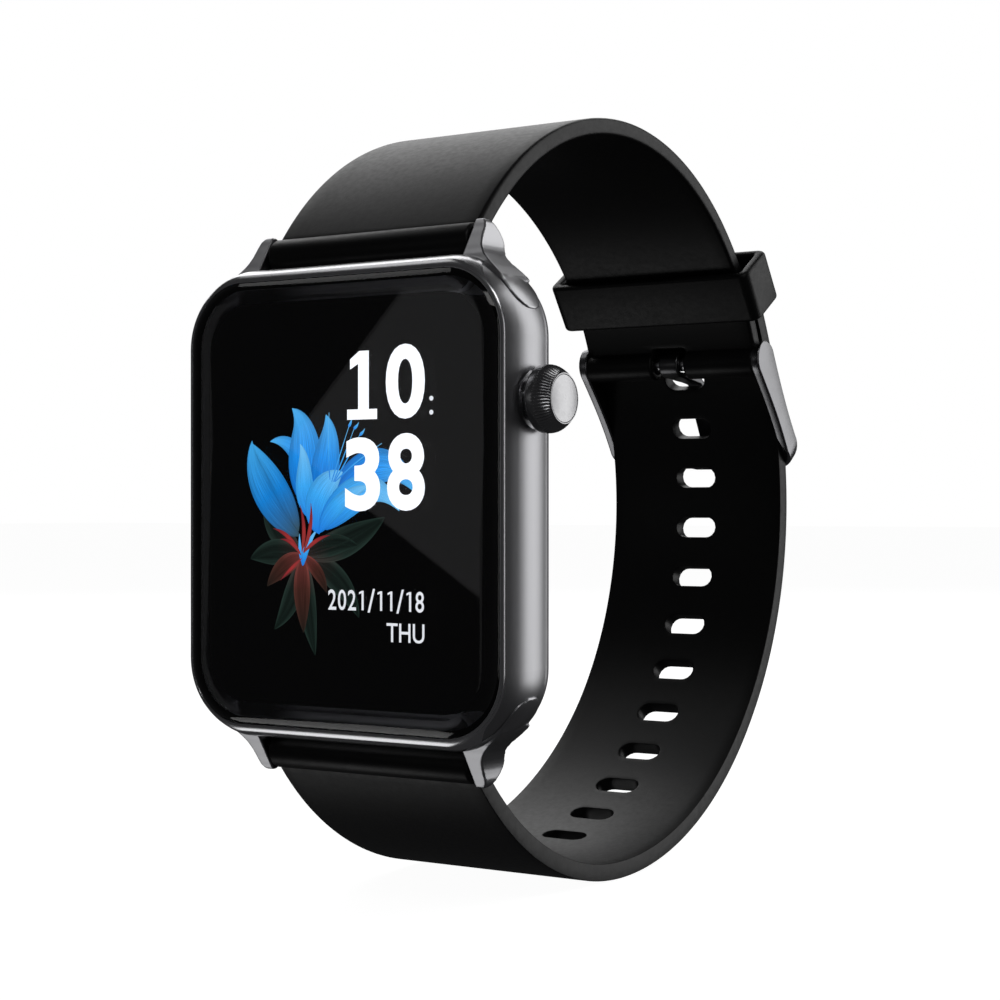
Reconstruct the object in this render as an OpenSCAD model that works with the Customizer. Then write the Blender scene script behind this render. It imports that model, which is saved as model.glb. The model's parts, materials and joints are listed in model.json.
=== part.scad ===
// Rectangular smartwatch on a buckled silicone strap, all in millimetres.
// +Z points to 12 o'clock, -Y out of the screen, +X to the crown side.
// The origin is the middle of the sensor window's face, which rests on the wrist.

/* [Case] */
// Width of the front rim
rim_w = 36.6; // [36.2:0.2:37.4]
// Height of the front rim
rim_h = 42.5; // [42.1:0.2:43.3]
// Corner radius of the front rim
rim_r = 6.4; // [6.2:0.1:6.6]
// Height of the front rim above the wrist face
rim_top = 10.1; // [10.1:0.1:10.3]
// How far the side bulges past the rim
bulge = 0.75; // [0.65:0.05:0.85]
// How far the glass stands above the rim
glass_rise = 0.8; // [0.6:0.1:1]

/* [Crown] */
// Crown height above the middle of the case
crown_y = 9.2; // [9:0.1:9.4]
// Radius of the fluted cap
crown_r = 3.05; // [3:0.05:3.1]
// Travel of the press
press_travel = 0.45; // [0.3:0.05:0.45]
// Number of flutes
flutes = 56; // [40:4:60]

/* [Strap] */
// Gap between two lugs, which takes a standard strap
lug_gap = 24; // [24:0.1:24.2]
// Strap width at the buckle
strap_end_w = 21.2; // [21:0.1:22]
// Strap thickness
strap_t = 1.7; // [1.6:0.05:1.75]
// Height of the loop's highest point above the middle of the case
loop_top = 38.9; // [38.7:0.1:39.1]
// Depth of the loop's lowest point below the middle of the case
loop_bottom = 37.9; // [37.7:0.1:38.1]
// Distance between two strap holes, along the strap
hole_pitch = 6; // [5.9:0.05:6.05]
// Number of strap holes
hole_count = 12; // [10:1:12]
// Length of a strap hole, across the strap
hole_l = 5.2; // [5:0.1:5.4]
// Width of a strap hole, along the strap
hole_w = 2.4; // [2.3:0.1:2.5]

/* [Hidden] */
$fn = 96;

e = 0.01; // overlap that lets a cut run clear of a face

// ---- case, in its own flat frame: x as the part's X, y towards 12 o'clock, h out of the screen
half_w = rim_w / 2;
half_h = rim_h / 2;
corner_x = half_w - rim_r;
corner_y = half_h - rim_r;
belt_h = rim_top - 3.5;          // the widest height of the side
front_arc_r = (bulge * bulge + 3.5 * 3.5) / (2 * bulge);
side_arc_r = 11;
side_turn = 17;                  // where the side's arc hands over to the back edge's
back_edge_r = 2;
// height of the frame's back edge
back_h = belt_h - (side_arc_r - back_edge_r) * sin(side_turn) - back_edge_r;
cavity_in = 1.3;                 // wall of the frame, measured in from the rim
opening_w = 29.5;
opening_h = 35.4;
opening_r = 5.5;
floor_h = 3;                     // inside face of the rear flange
ledge_h = 9.1;                   // ledge that carries the glass
glass_h = 9.3;                   // underside of the glass
glass_gap = 0.35;                // rim left showing round the glass
crown_h = rim_top - 4.4;         // height of the crown's axis
recess_r = 2.8;                  // recess round the neck of the crown

// ---- lugs
foot_h = rim_top - 4.1;          // height of the foot's middle line
foot_r = 2.3;
foot_reach = [-3.1, 3.4];        // along the corner, from its middle
foot_turn = 48;                  // angle of the foot's middle on the corner
foot_depth = 1.3;
groove = 0.12;
head_z = rim_r - cavity_in - 0.8; // inner end of a lug screw's head
lug_out = 0.12;                  // how far the foot stands above the corner
bar_y = 23.9;                    // spring bar's height from the middle of the case
bar_h = 4.7;                     // spring bar's height above the wrist face
pin_r = 0.4;
pin_hole_r = 0.45;

// ---- strap paths, in the part's own YZ plane: each is [middle y, middle z, outer radius]
bar_back = -bar_h;               // y of the spring bars
top_y = 22.4;
low_y = 21.2;
back_r = 32.4;                   // upper strap, past the loop's top
low_r = 38;                      // lower strap, past the loop's bottom
top_z = loop_top - back_r;
low_z = low_r - loop_bottom;

// radius of an arc that runs from a spring bar to a level tangent "run" back and "rise" out
function root_r(run, rise) = (run * run + rise * rise - strap_t * strap_t / 4)
    / (2 * rise - strap_t);
upper_root_r = root_r(top_y - bar_back, loop_top - bar_y);
lower_root_r = root_r(low_y - bar_back, loop_bottom - bar_y);
upper_front = [top_y, loop_top - upper_root_r, upper_root_r];
upper_back = [top_y, top_z, back_r];
lower_front = [low_y, lower_root_r - loop_bottom, lower_root_r];
lower_back = [low_y, low_z, low_r];

// the tail lies outside the upper strap, and one wide arc carries it there
layer_gap = 0.35;
tail_r = back_r + layer_gap + strap_t;
tail_over = [top_y, top_z, tail_r];
bow_r = 55;
// its middle lies at these distances from the two arcs' middles, so it touches both
to_low = bow_r - low_r;
to_over = bow_r - tail_r;
apart = norm([top_y - low_y, top_z - low_z]);
lean = atan2(top_z - low_z, top_y - low_y)
    + acos((to_low * to_low - to_over * to_over + apart * apart) / (2 * apart * to_low));
tail_bow = [low_y + to_low * cos(lean), low_z + to_low * sin(lean), bow_r];
bow_from = atan2(low_z - tail_bow[1], low_y - tail_bow[0]);
bow_to = atan2(top_z - tail_bow[1], top_y - tail_bow[0]);

flex_angle = 75;                 // where each strap bends, from level
flex_gap = 0.12;                 // half the gap left at that bend
upper_start = 180 - asin((bar_y - upper_front[1]) / (upper_root_r - strap_t / 2));
lower_start = 180 + asin((bar_y + lower_front[1]) / (lower_root_r - strap_t / 2));
tail_tip = 35.2;                 // angle of the tail's tip, under the keeper

roll_r = 1.7;                    // rolled strap end round a bar
bar_r = 0.75;
tube_bore_r = 0.55;
lug_bore_r = 0.82;               // strap bore at the upper lugs
open_bore_r = 1.05;              // strap bore at the lower lugs, where the linkage is opened

// ---- buckle
buckle_z = 16.2;
buckle_dist = bow_r - strap_t - 0.15 - roll_r;
buckle_y = tail_bow[0] + sqrt(pow(buckle_dist, 2) - pow(buckle_z - tail_bow[1], 2));
buckle_angle = atan2(buckle_z - top_z, buckle_y - top_y);
arm_t = 1.05;
arm_x = strap_end_w / 2 + 0.3;   // inner face of an arm
cross_z = 5.3;
cross_r = 1;
// the cross bar lies just outside the tail
cross_y = low_y + sqrt(pow(low_r + cross_r + 0.1, 2) - pow(cross_z - low_z, 2));
notch_w = 4.2;
tongue_w = 2;

// ---- keeper
keeper_angle = 33.6;
keeper_l = 5.9;                  // along the strap
keeper_wall = 0.95;
keeper_side = 1.25;
keeper_in = back_r - strap_t - 0.3;
keeper_out = tail_r + 0.3;

// ================================================================ helpers

// stands a flat-frame case part up in the part's frame
module stand_up() rotate([90, 0, 0]) children();

// extrudes a YZ outline across the strap
module across(w) rotate([90, 0, 90]) linear_extrude(w, center = true) children();

module across_from(x0, x1) translate([x0, 0, 0]) rotate([90, 0, 90])
    linear_extrude(x1 - x0) children();

// a cylinder along X from x0 to x1 at y, z
module rod(x0, x1, r, y = 0, z = 0) translate([x0, y, z]) rotate([0, 90, 0])
    cylinder(r = r, h = x1 - x0);

module tube(x0, x1, r_out, r_in, y = 0, z = 0) difference() {
    rod(x0, x1, r_out, y, z);
    rod(x0 - 1, x1 + 1, r_in, y, z);
}

// flat-frame block from its lowest to its highest corner
module block(low, high) translate(low) cube(high - low);

module rounded(w, h, r) {
    square([w - 2 * r, h], center = true);
    square([w, h - 2 * r], center = true);
    for (x = [-1, 1], y = [-1, 1]) translate([x * (w / 2 - r), y * (h / 2 - r)]) circle(r);
}

module plate(w, h, r, h0, h1) translate([0, 0, h0]) linear_extrude(h1 - h0) rounded(w, h, r);

module frame_ring(w, h, r, wall, h0, h1) difference() {
    plate(w, h, r, h0, h1);
    plate(w - 2 * wall, h - 2 * wall, max(r - wall, 0.3), h0 - 1, h1 + 1);
}

// sweeps an outline round the rim: its x is measured from the corner's middle
module round_the_rim(cx = corner_x, cy = corner_y) {
    for (turn = [0, 90, 180, 270]) {
        x = turn == 0 || turn == 270 ? cx : -cx;
        y = turn < 180 ? cy : -cy;
        translate([x, y, 0]) rotate_extrude(angle = 90, start = turn) children();
    }
    for (s = [-1, 1]) {
        translate([s * cx, s * cy, 0]) rotate([90, 0, s > 0 ? 0 : 180])
            linear_extrude(2 * cy) children();
        translate([-s * cx, s * cy, 0]) rotate([90, 0, s > 0 ? 90 : 270])
            linear_extrude(2 * cx) children();
    }
}

// an arc of strap between two angles, seen from the side
module strap_arc(path, from, to, t = strap_t) translate([path[0], path[1]]) intersection() {
    difference() {
        circle(path[2], $fn = 360);
        circle(path[2] - t, $fn = 360);
    }
    polygon(concat([[0, 0]], [for (i = [0:8]) 60 * [cos(from + (to - from) * i / 8),
        sin(from + (to - from) * i / 8)]]));
}

// the strap narrows evenly from the lugs to the buckle
root_w = lug_gap - 0.4;
module strap_taper() translate([0, 0, -50]) linear_extrude(100) polygon([
    [-root_w / 2, -12], [root_w / 2, -12], [root_w / 2, 0], [strap_end_w / 2, 50],
    [strap_end_w / 2, 70], [-strap_end_w / 2, 70], [-strap_end_w / 2, 50], [-root_w / 2, 0],
]);

// a point on a path's middle line
function on_path(path, a) = [path[0] + (path[2] - strap_t / 2) * cos(a),
    path[1] + (path[2] - strap_t / 2) * sin(a)];

// side outline of a bar that narrows from one round end to another
module tapered_link(a, ra, b, rb) {
    d = norm(b - a);
    lean = acos((ra - rb) / d);
    way = atan2(b[1] - a[1], b[0] - a[0]);
    translate(a) circle(ra);
    translate(b) circle(rb);
    polygon([for (s = [1, -1], k = s > 0 ? [0, 1] : [1, 0])
        (k == 0 ? a : b) + (k == 0 ? ra : rb) * [cos(way + s * lean), sin(way + s * lean)]]);
}

// ================================================================ case

// outline of the frame's outside, from the middle of the corner
module side_outline(grow = 0) {
    front_c = rim_r + bulge - front_arc_r;
    side_c = rim_r + bulge - side_arc_r;
    edge_x = side_c + (side_arc_r - back_edge_r) * cos(side_turn);
    edge_h = belt_h - (side_arc_r - back_edge_r) * sin(side_turn);
    intersection() {
        translate([front_c, belt_h]) circle(front_arc_r + grow, $fn = 240);
        translate([0, belt_h]) square([rim_r + bulge + grow, rim_top - belt_h]);
    }
    intersection() {
        translate([side_c, belt_h]) circle(side_arc_r + grow, $fn = 240);
        translate([0, edge_h]) square([rim_r + bulge + grow, belt_h - edge_h]);
        polygon([[0, belt_h], [side_c, belt_h],
            [side_c + 20 * cos(side_turn), belt_h - 20 * sin(side_turn)],
            [30, belt_h + e], [0, belt_h + e]]);
    }
    translate([0, edge_h - back_edge_r]) square([edge_x, belt_h - edge_h + back_edge_r]);
    translate([edge_x, edge_h]) circle(back_edge_r + grow);
}

module case_solid(grow = 0) {
    round_the_rim() side_outline(grow);
    block([-corner_x, -corner_y, back_h], [corner_x, corner_y, rim_top]);
}

// places a foot or its screw square to a corner, z outwards along the diagonal
module at_corner(sx, sy) translate([sx * corner_x, sy * corner_y, foot_h])
    rotate([0, 0, sy > 0 ? (sx > 0 ? foot_turn : 180 - foot_turn)
        : (sx > 0 ? -foot_turn : 180 + foot_turn)]) rotate([0, 90, 0]) children();

// oval prism of a lug's foot; its long way runs round the corner
module foot_prism(sx, sy, grow = 0) at_corner(sx, sy) {
    flip = sx * sy;
    for (k = foot_reach) translate([0, flip * (k - sign(k) * foot_r), rim_r - foot_depth + 0.75])
        cylinder(r = foot_r + grow, h = 3);
    translate([-foot_r - grow, flip > 0 ? foot_reach[0] + foot_r : -foot_reach[1] + foot_r,
        rim_r - foot_depth + 0.75])
        cube([2 * (foot_r + grow), foot_reach[1] - foot_reach[0] - 2 * foot_r, 3]);
}

module case_frame() color([0.36, 0.36, 0.38]) stand_up() difference() {
    case_solid();
    plate(rim_w - 2 * cavity_in, rim_h - 2 * cavity_in, rim_r - cavity_in, floor_h, ledge_h);
    plate(rim_w - 2 * glass_gap + 0.1, rim_h - 2 * glass_gap + 0.1, rim_r - glass_gap + 0.05,
        ledge_h, rim_top + 1);
    plate(opening_w, opening_h, opening_r, 0, floor_h + 1);
    for (sx = [-1, 1], sy = [-1, 1]) {
        foot_prism(sx, sy, groove);
        at_corner(sx, sy) cylinder(r = 0.65, h = 10);
    }
    for (x = [-1, 1], y = [-1, 1]) translate([x * 13.95, y * 16.9, 0]) cylinder(r = 0.5, h = 3.7);
    translate([half_w, crown_y, crown_h]) rotate([0, 90, 0]) cylinder(r = recess_r, h = 3);
    translate([0, crown_y, crown_h]) rotate([0, 90, 0]) cylinder(r = 1.35, h = 30);
}

// a lug, built at the upper right and mirrored to the other corners
module lug_shape() {
    tip_y = 25.8;
    tip_r = 0.75;
    outer_x = lug_gap / 2 + 1.7;
    // the flare's arc touches the outer edge above and the case's corner below
    flare_r = 2.8;
    corner_r = rim_r + bulge + lug_out;
    flare_y = corner_y + sqrt(pow(corner_r + flare_r, 2) - pow(outer_x + flare_r - corner_x, 2));
    meet_x = corner_x + (outer_x + flare_r - corner_x) * corner_r / (corner_r + flare_r);
    difference() {
        intersection() {
            // seen from the side: leaning front face, rounded tip, swelling and waist
            translate([lug_gap / 2, 0, 0]) rotate([90, 0, 90]) linear_extrude(6) union() {
                polygon([[19, 9.2], [19, 3.6], [22.3, 3.5], [23.1, 3.2], [24.6, 3.4],
                    [25.5, 4.5], [tip_y, 5.0], [25.7, 5.35], [22.2, 7.5], [21, 8.4]]);
                translate([23.75, 3.9]) circle(0.85);
                translate([25.15, 4.85]) circle(0.65);
            }
            // seen from the front: straight inner face, outer edge flaring into the corner
            linear_extrude(12) difference() {
                union() {
                    translate([lug_gap / 2, 19]) square([meet_x - lug_gap / 2, flare_y - 19]);
                    translate([lug_gap / 2, flare_y - 1])
                        square([outer_x - lug_gap / 2, tip_y - tip_r + 1 - flare_y]);
                    translate([lug_gap / 2, flare_y])
                        square([outer_x - lug_gap / 2 - tip_r, tip_y - flare_y]);
                    translate([outer_x - tip_r, tip_y - tip_r]) circle(tip_r);
                }
                translate([outer_x + flare_r, flare_y]) circle(flare_r);
            }
        }
        case_solid();
    }
    intersection() {
        case_solid(lug_out);
        foot_prism(1, 1);
    }
}

module lug(sx, sy) color([0.4, 0.4, 0.42]) stand_up() difference() {
    mirror([sx < 0 ? 1 : 0, 0, 0]) mirror([0, sy < 0 ? 1 : 0, 0]) lug_shape();
    translate([sx > 0 ? 0 : -13.3, sy * bar_y, bar_h]) rotate([0, 90, 0])
        cylinder(r = pin_hole_r, h = 13.3);
    at_corner(sx, sy) cylinder(r = 0.5, h = rim_r + 0.3);
}
module lug_upper_right() lug(1, 1);
module lug_upper_left() lug(-1, 1);
module lug_lower_right() lug(1, -1);
module lug_lower_left() lug(-1, -1);

module lug_screws() color("silver") stand_up() for (sx = [-1, 1], sy = [-1, 1]) at_corner(sx, sy)
    difference() {
        union() {
            translate([0, 0, head_z]) cylinder(r = 1.05, h = 0.65);
            translate([0, 0, head_z]) cylinder(r = 0.5, h = 2.2);
        }
        translate([-0.7, -0.12, head_z - 1]) cube([1.4, 0.24, 1.25]);
    }

module cover_glass() color([0.02, 0.02, 0.03]) stand_up() {
    edge = 1.6;                  // width of the curved edge
    lip = 0.1;                   // straight part above the rim
    glass_c = rim_r - glass_gap;
    drop = glass_rise - lip;
    edge_r = (edge * edge + drop * drop) / (2 * drop);
    round_the_rim() union() {
        translate([0, glass_h]) square([glass_c, rim_top + lip - glass_h]);
        translate([0, rim_top]) square([glass_c - edge, glass_rise]);
        intersection() {
            translate([glass_c - edge, rim_top + glass_rise - edge_r]) circle(edge_r, $fn = 240);
            translate([glass_c - edge - e, rim_top]) square([edge + e, glass_rise]);
        }
    }
    block([-corner_x, -corner_y, glass_h], [corner_x, corner_y, rim_top + glass_rise]);
}

module glass_adhesive() color([0.1, 0.1, 0.1]) stand_up()
    frame_ring(rim_w - 2 * glass_gap - 0.2, rim_h - 2 * glass_gap - 0.2, rim_r - glass_gap - 0.1,
        0.8, ledge_h, glass_h);

// ================================================================ display and inside

module display_panel() color([0.03, 0.03, 0.05]) stand_up() plate(32, 37.8, 4.6, 8.1, 9.2);

module display_backlight() color([0.75, 0.76, 0.78]) stand_up() plate(32, 37.8, 4.6, 7.5, 8.1);

// flat cable: from the display's back, down through the chassis to its connector
module display_flex() color([0.75, 0.45, 0.1]) stand_up() {
    block([-4, 2.9, 7.35], [4, 13, 7.5]);
    block([-4, 2.9, 6.6], [4, 3.05, 7.35 + e]);
}

module flex_connector() color([0.15, 0.15, 0.15]) stand_up() block([-4.4, 1.9, 6], [4.4, 4, 6.6]);

board_points = [[-13.2, 16.4], [9.5, 16.4], [-13.2, 1.8]];

module inner_chassis() color([0.25, 0.25, 0.27]) stand_up() difference() {
    union() {
        plate(32.4, 38.2, 5, 6.7, 7.3);
        frame_ring(32.4, 38.2, 5, 0.8, 3.7, 6.7 + e);
        for (p = board_points) translate([p[0], p[1], 6]) cylinder(r = 1.1, h = 0.7 + e);
    }
    block([-4.5, 1.8, 6], [4.5, 4.1, 8]);
    block([14, crown_y - 2.6, 3], [17, crown_y + 2.6, 7.4]);
    for (sx = [-1, 1], sy = [-1, 1]) at_corner(sx, sy) translate([0, 0, 3]) cylinder(r = 1.4, h = 6);
    for (p = board_points) translate([p[0], p[1], 5]) cylinder(r = 0.45, h = 1.6);
}

module battery() color([0.2, 0.22, 0.3]) stand_up() {
    plate_y = -8.9;
    translate([0, plate_y, 0]) plate(29, 17.2, 1.5, 3.8, 6.5);
    block([-3, plate_y + 8.5, 4.4], [3, plate_y + 9.4, 5.6]);
}

module mainboard() color([0.05, 0.25, 0.12]) stand_up() difference() {
    translate([0, 9.7, 0]) plate(30, 16.8, 4.5, 5.3, 6);
    block([10.2, crown_y - 3.2, 5], [17, crown_y + 3.2, 7]);
    for (p = board_points) translate([p[0], p[1], 5]) cylinder(r = 0.45, h = 2);
}

module shield_cans() color("silver") stand_up() {
    block([-12.6, 9, 4], [-1, 15, 5.3]);
    block([0.2, 10.4, 4], [8, 15.2, 5.3]);
}

module board_screws() color("silver") stand_up() for (p = board_points)
    translate([p[0], p[1], 4.8]) {
        cylinder(r = 0.95, h = 0.5);
        cylinder(r = 0.45, h = 1.8);
    }

module vibration_motor() color([0.7, 0.7, 0.72]) stand_up()
    translate([-8.4, 4.9, 3.7]) {
        cylinder(r = 3.4, h = 1.6);
        translate([0, 0, -0.15]) cylinder(r = 1, h = 0.3);
    }

module antenna_flex() color([0.7, 0.4, 0.1]) stand_up() block([-16.75, -12, 4], [-16.6, 12, 6.4]);

module side_switch() color([0.12, 0.12, 0.12]) stand_up() difference() {
    block([12.4, crown_y - 1.7, crown_h - 1.5], [14.5, crown_y + 1.7, crown_h + 0.9]);
    translate([13, crown_y, crown_h]) rotate([0, 90, 0]) cylinder(r = 0.65, h = 3);
}

module switch_bracket() color("silver") stand_up() {
    block([12.1, crown_y - 2.4, crown_h - 1.6], [12.4, crown_y + 2.4, 6.7]);
    block([10.9, crown_y - 2.4, 6.4], [12.1 + e, crown_y + 2.4, 6.7]);
}

// ================================================================ back

module rear_cover() color([0.08, 0.08, 0.09]) stand_up() difference() {
    union() {
        plate(31.2, 37.1, 5.2, 1, 1.7 + e);
        plate(31.8, 37.7, 5.5, 1.7, back_h);
        plate(opening_w - 1.1, opening_h - 1.1, opening_r - 0.55, back_h - e, floor_h);
    }
    translate([0, 0, -1]) cylinder(r = 8.6, h = 6);
    for (x = [-2.6, 2.6]) translate([x, 14, 0]) cylinder(r = 1, h = 6);
    for (x = [-1, 1], y = [-1, 1]) translate([x * 13.95, y * 16.9, 0]) {
        cylinder(r = 0.55, h = 4);
        cylinder(r = 1.05, h = 1.5);
    }
}

module rear_gasket() color([0.05, 0.05, 0.05]) stand_up()
    frame_ring(opening_w, opening_h, opening_r, 0.55, back_h, 2.8);

module rear_screws() color("silver") stand_up() for (x = [-1, 1], y = [-1, 1])
    translate([x * 13.95, y * 16.9, 1]) difference() {
        union() {
            cylinder(r = 1, h = 0.5);
            cylinder(r = 0.5, h = 2.6);
        }
        translate([0, 0, -e]) cylinder(r = 0.45, h = 0.3, $fn = 6);
    }

module sensor_window() color([0.05, 0.05, 0.06]) stand_up() rotate_extrude() union() {
    polygon([[0, 0], [9, 0], [9.6, 0.5], [9.6, 1], [0, 1]]);
    square([8.5, 2.2]);
}

module sensor_board() color([0.05, 0.25, 0.12]) stand_up() translate([0, 0, floor_h])
    cylinder(r = 9.6, h = 0.5);

module sensor_leds() color([0.4, 1, 0.5]) stand_up() for (a = [0, 180])
    rotate([0, 0, a]) translate([1.3, 0, 0]) block([-0.8, -0.8, 2.4], [0.8, 0.8, floor_h]);

module photodiodes() color([0.15, 0.1, 0.2]) stand_up() for (a = [45:90:315])
    rotate([0, 0, a]) translate([5.8, 0, 0]) block([-1.2, -1.5, 2.4], [1.2, 1.5, floor_h]);

module light_barrier() color([0.02, 0.02, 0.02]) stand_up() translate([0, 0, 2.2]) difference() {
    cylinder(r = 3.9, h = 0.8);
    translate([0, 0, -1]) cylinder(r = 3.3, h = 3);
}

module charge_contacts() color("gold") stand_up() for (x = [-2.6, 2.6]) translate([x, 14, 1])
    cylinder(r = 1, h = 2.6);

module charge_magnets() color([0.6, 0.6, 0.62]) stand_up() for (x = [-7, 7])
    block([x - 1.6, 12.4, floor_h], [x + 1.6, 15.6, 3.9]);

// ================================================================ crown, along X

module at_crown() translate([0, -crown_h, crown_y]) children();

module crown_tube() color("silver") at_crown() difference() {
    union() {
        rod(16.3, 18.9, 1.35);
        rod(half_w, half_w + 0.3, 1.9);
    }
    rod(10, 30, 0.75);
}

module switch_plunger() color([0.8, 0.8, 0.8]) at_crown() {
    rod(13.6, 15.15, 0.6);
    rod(15.1, 15.5, 0.9);
}

module crown_stem() color("silver") at_crown() difference() {
    rod(15.55, 21.5, 0.7);
    tube(15.85, 16.15, 1.5, 0.5);
    tube(17.3, 17.7, 1.5, 0.45);
}

module crown_clip() color("silver") at_crown() difference() {
    tube(15.87, 16.13, 1.2, 0.5);
    translate([15, -0.35, -2]) cube([2, 0.7, 2]);
}

module crown_seal() color([0.05, 0.05, 0.05]) at_crown() tube(17.32, 17.68, 0.73, 0.45);

crown_base = half_w + 1.05;      // inner end of the cap

module crown_cap() color([0.3, 0.3, 0.32]) at_crown() rotate([0, 90, 0]) difference() {
    translate([0, 0, crown_base]) rotate_extrude() polygon([
        [0, 0.95], [2.1, 0.95], [2.1, 0], [2.6, 0], [2.6, 0.74], [crown_r - 0.12, 0.74],
        [crown_r, 0.86], [crown_r, 1.52], [crown_r - 0.1, 1.76], [2.3, 2.46], [2.2, 2.5],
        [2.12, 2.5], [2.12, 2.05], [0, 2.05],
    ]);
    cylinder(r = 0.7, h = 40);
    for (i = [0 : flutes - 1]) rotate([0, 0, i * 360 / flutes])
        translate([crown_r + 0.04, 0, crown_base + 1.42]) rotate([0, -41, 0])
            cylinder(r = 0.115, h = 1.6, $fn = 16);
}

module crown_insert() color([0.62, 0.62, 0.64]) at_crown() rotate([0, 90, 0])
    translate([0, 0, crown_base + 2.05]) difference() {
        rotate_extrude() intersection() {
            square([2.1, 0.62]);
            translate([0, -11.9]) circle(12.5, $fn = 360);
        }
        translate([0, 0, -1]) cylinder(r = 0.7, h = 1.35);
    }

module crown_spring() color("silver") at_crown() rotate([0, 90, 0])
    translate([0, 0, 18.9]) rotate_extrude() union() {
        translate([0.95, 0]) square([0.2, crown_base + 0.95 - 18.9]);
        for (i = [0:3]) translate([1.05, 0.18 + i * (crown_base + 0.59 - 18.9) / 3])
            circle(0.16, $fn = 24);
    }

// ================================================================ spring bars

// tube with one fixed tip at x = -half, and room for a sliding pin at the other end
module bar_tube(half, y, z) difference() {
    union() {
        rod(-half + 0.4, half - 1.6, bar_r, y, z);
        rod(-half - 0.9, -half + 0.5, pin_r, y, z);
    }
    rod(half - 8, half, tube_bore_r, y, z);
}

module bar_pin(half, y, z) {
    rod(half - 4, half - 0.4, 0.5, y, z);
    rod(half - 0.5, half - 0.2, 0.68, y, z);
    rod(half - 0.3, half + 0.9, pin_r, y, z);
}

// close-wound spring between the tube's blind end and the pin
module bar_spring(half, y, z) translate([half - 8, y, z]) rotate([0, 90, 0]) rotate_extrude() union() {
    translate([0.3, 0]) square([0.1, 4]);
    for (i = [0:9]) translate([0.37, 0.2 + i * 0.4]) circle(0.12, $fn = 16);
}

lug_half = lug_gap / 2;
module upper_bar_tube() color("silver") bar_tube(lug_half, bar_back, bar_y);
module upper_bar_pin() color("silver") bar_pin(lug_half, bar_back, bar_y);
module upper_bar_spring() color("silver") bar_spring(lug_half, bar_back, bar_y);
module lower_bar_tube() color("silver") bar_tube(lug_half, bar_back, -bar_y);
module lower_bar_pin() color("silver") bar_pin(lug_half, bar_back, -bar_y);
module lower_bar_spring() color("silver") bar_spring(lug_half, bar_back, -bar_y);
module buckle_bar_tube() color("silver") bar_tube(arm_x, buckle_y, buckle_z);
module buckle_bar_pin() color("silver") bar_pin(arm_x, buckle_y, buckle_z);
module buckle_bar_spring() color("silver") bar_spring(arm_x, buckle_y, buckle_z);

// ================================================================ strap

// cuts a strap end square to its path, half the flex gap short of the angle
function gap_angle(path) = flex_gap / (path[2] - strap_t / 2) * 180 / PI;

module strap_root(path, back, start, middle, flex, sign_z, bore) difference() {
    intersection() {
        across(40) union() {
            strap_arc(path, start, middle);
            strap_arc(back, middle, flex);
            translate([bar_back, sign_z * bar_y]) circle(roll_r);
        }
        strap_taper();
    }
    rod(-20, 20, bore, bar_back, sign_z * bar_y);
}

module upper_strap_root() color([0.04, 0.04, 0.04])
    strap_root(upper_front, upper_back, upper_start, 90, flex_angle + gap_angle(upper_back), 1,
        lug_bore_r);

module lower_strap_root() color([0.04, 0.04, 0.04]) difference() {
    strap_root(lower_front, lower_back, lower_start, 270,
        360 - flex_angle - gap_angle(lower_back), -1, open_bore_r);
    strap_holes();
}

module upper_strap_end() color([0.04, 0.04, 0.04]) difference() {
    intersection() {
        across(40) union() {
            strap_arc(upper_back, buckle_angle + 1, flex_angle - gap_angle(upper_back));
            translate([buckle_y, buckle_z]) circle(roll_r);
        }
        strap_taper();
    }
    rod(-20, 20, 0.82, buckle_y, buckle_z);
    translate([-notch_w / 2, buckle_y - 5, buckle_z - 3]) cube([notch_w, 10, 5]);
}

// hole i's angle: the first few lie on the wide arc, the others on the lower strap's arc
first_hole = 20.3;
function arc_mm(path) = PI / 180 * (path[2] - strap_t / 2);
function hole_left(i) = (first_hole - bow_from) * arc_mm(tail_bow) - i * hole_pitch;
module strap_holes() for (i = [0 : hole_count - 1]) {
    left = hole_left(i);
    path = left > 0 ? tail_bow : lower_back;
    a = bow_from + left / arc_mm(path);
    p = on_path(path, a);
    translate([0, p[0], p[1]]) rotate([a - 90, 0, 0]) {
        for (s = [-1, 1]) translate([s * (hole_l - hole_w) / 2, 0, -2])
            cylinder(r = hole_w / 2, h = 4);
        translate([-(hole_l - hole_w) / 2, -hole_w / 2, -2]) cube([hole_l - hole_w, hole_w, 4]);
    }
}

module lower_strap_tail() color([0.04, 0.04, 0.04]) difference() {
    intersection() {
        across(40) union() {
            strap_arc(lower_back, -flex_angle + gap_angle(lower_back), bow_from);
            strap_arc(tail_bow, bow_from, bow_to);
            // a hair thinner, so that it starts inside the arc before it
            strap_arc(tail_over - [0, 0, 0.01], bow_to - 1, tail_tip, strap_t - 0.02);
        }
        strap_taper();
    }
    strap_holes();
}

module keeper_loop() color([0.04, 0.04, 0.04])
    translate([0, top_y, top_z]) rotate([keeper_angle, 0, 0]) translate([0, 0, -keeper_l / 2])
        difference() {
            linear_extrude(keeper_l) translate([0, (keeper_in + keeper_out) / 2])
                rounded(strap_end_w + 1.3 + 2 * keeper_side, keeper_out - keeper_in + 2 * keeper_wall,
                    1);
            translate([-strap_end_w / 2 - 0.65, keeper_in, -1])
                cube([strap_end_w + 1.3, keeper_out - keeper_in, keeper_l + 2]);
        }

// ================================================================ buckle

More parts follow.
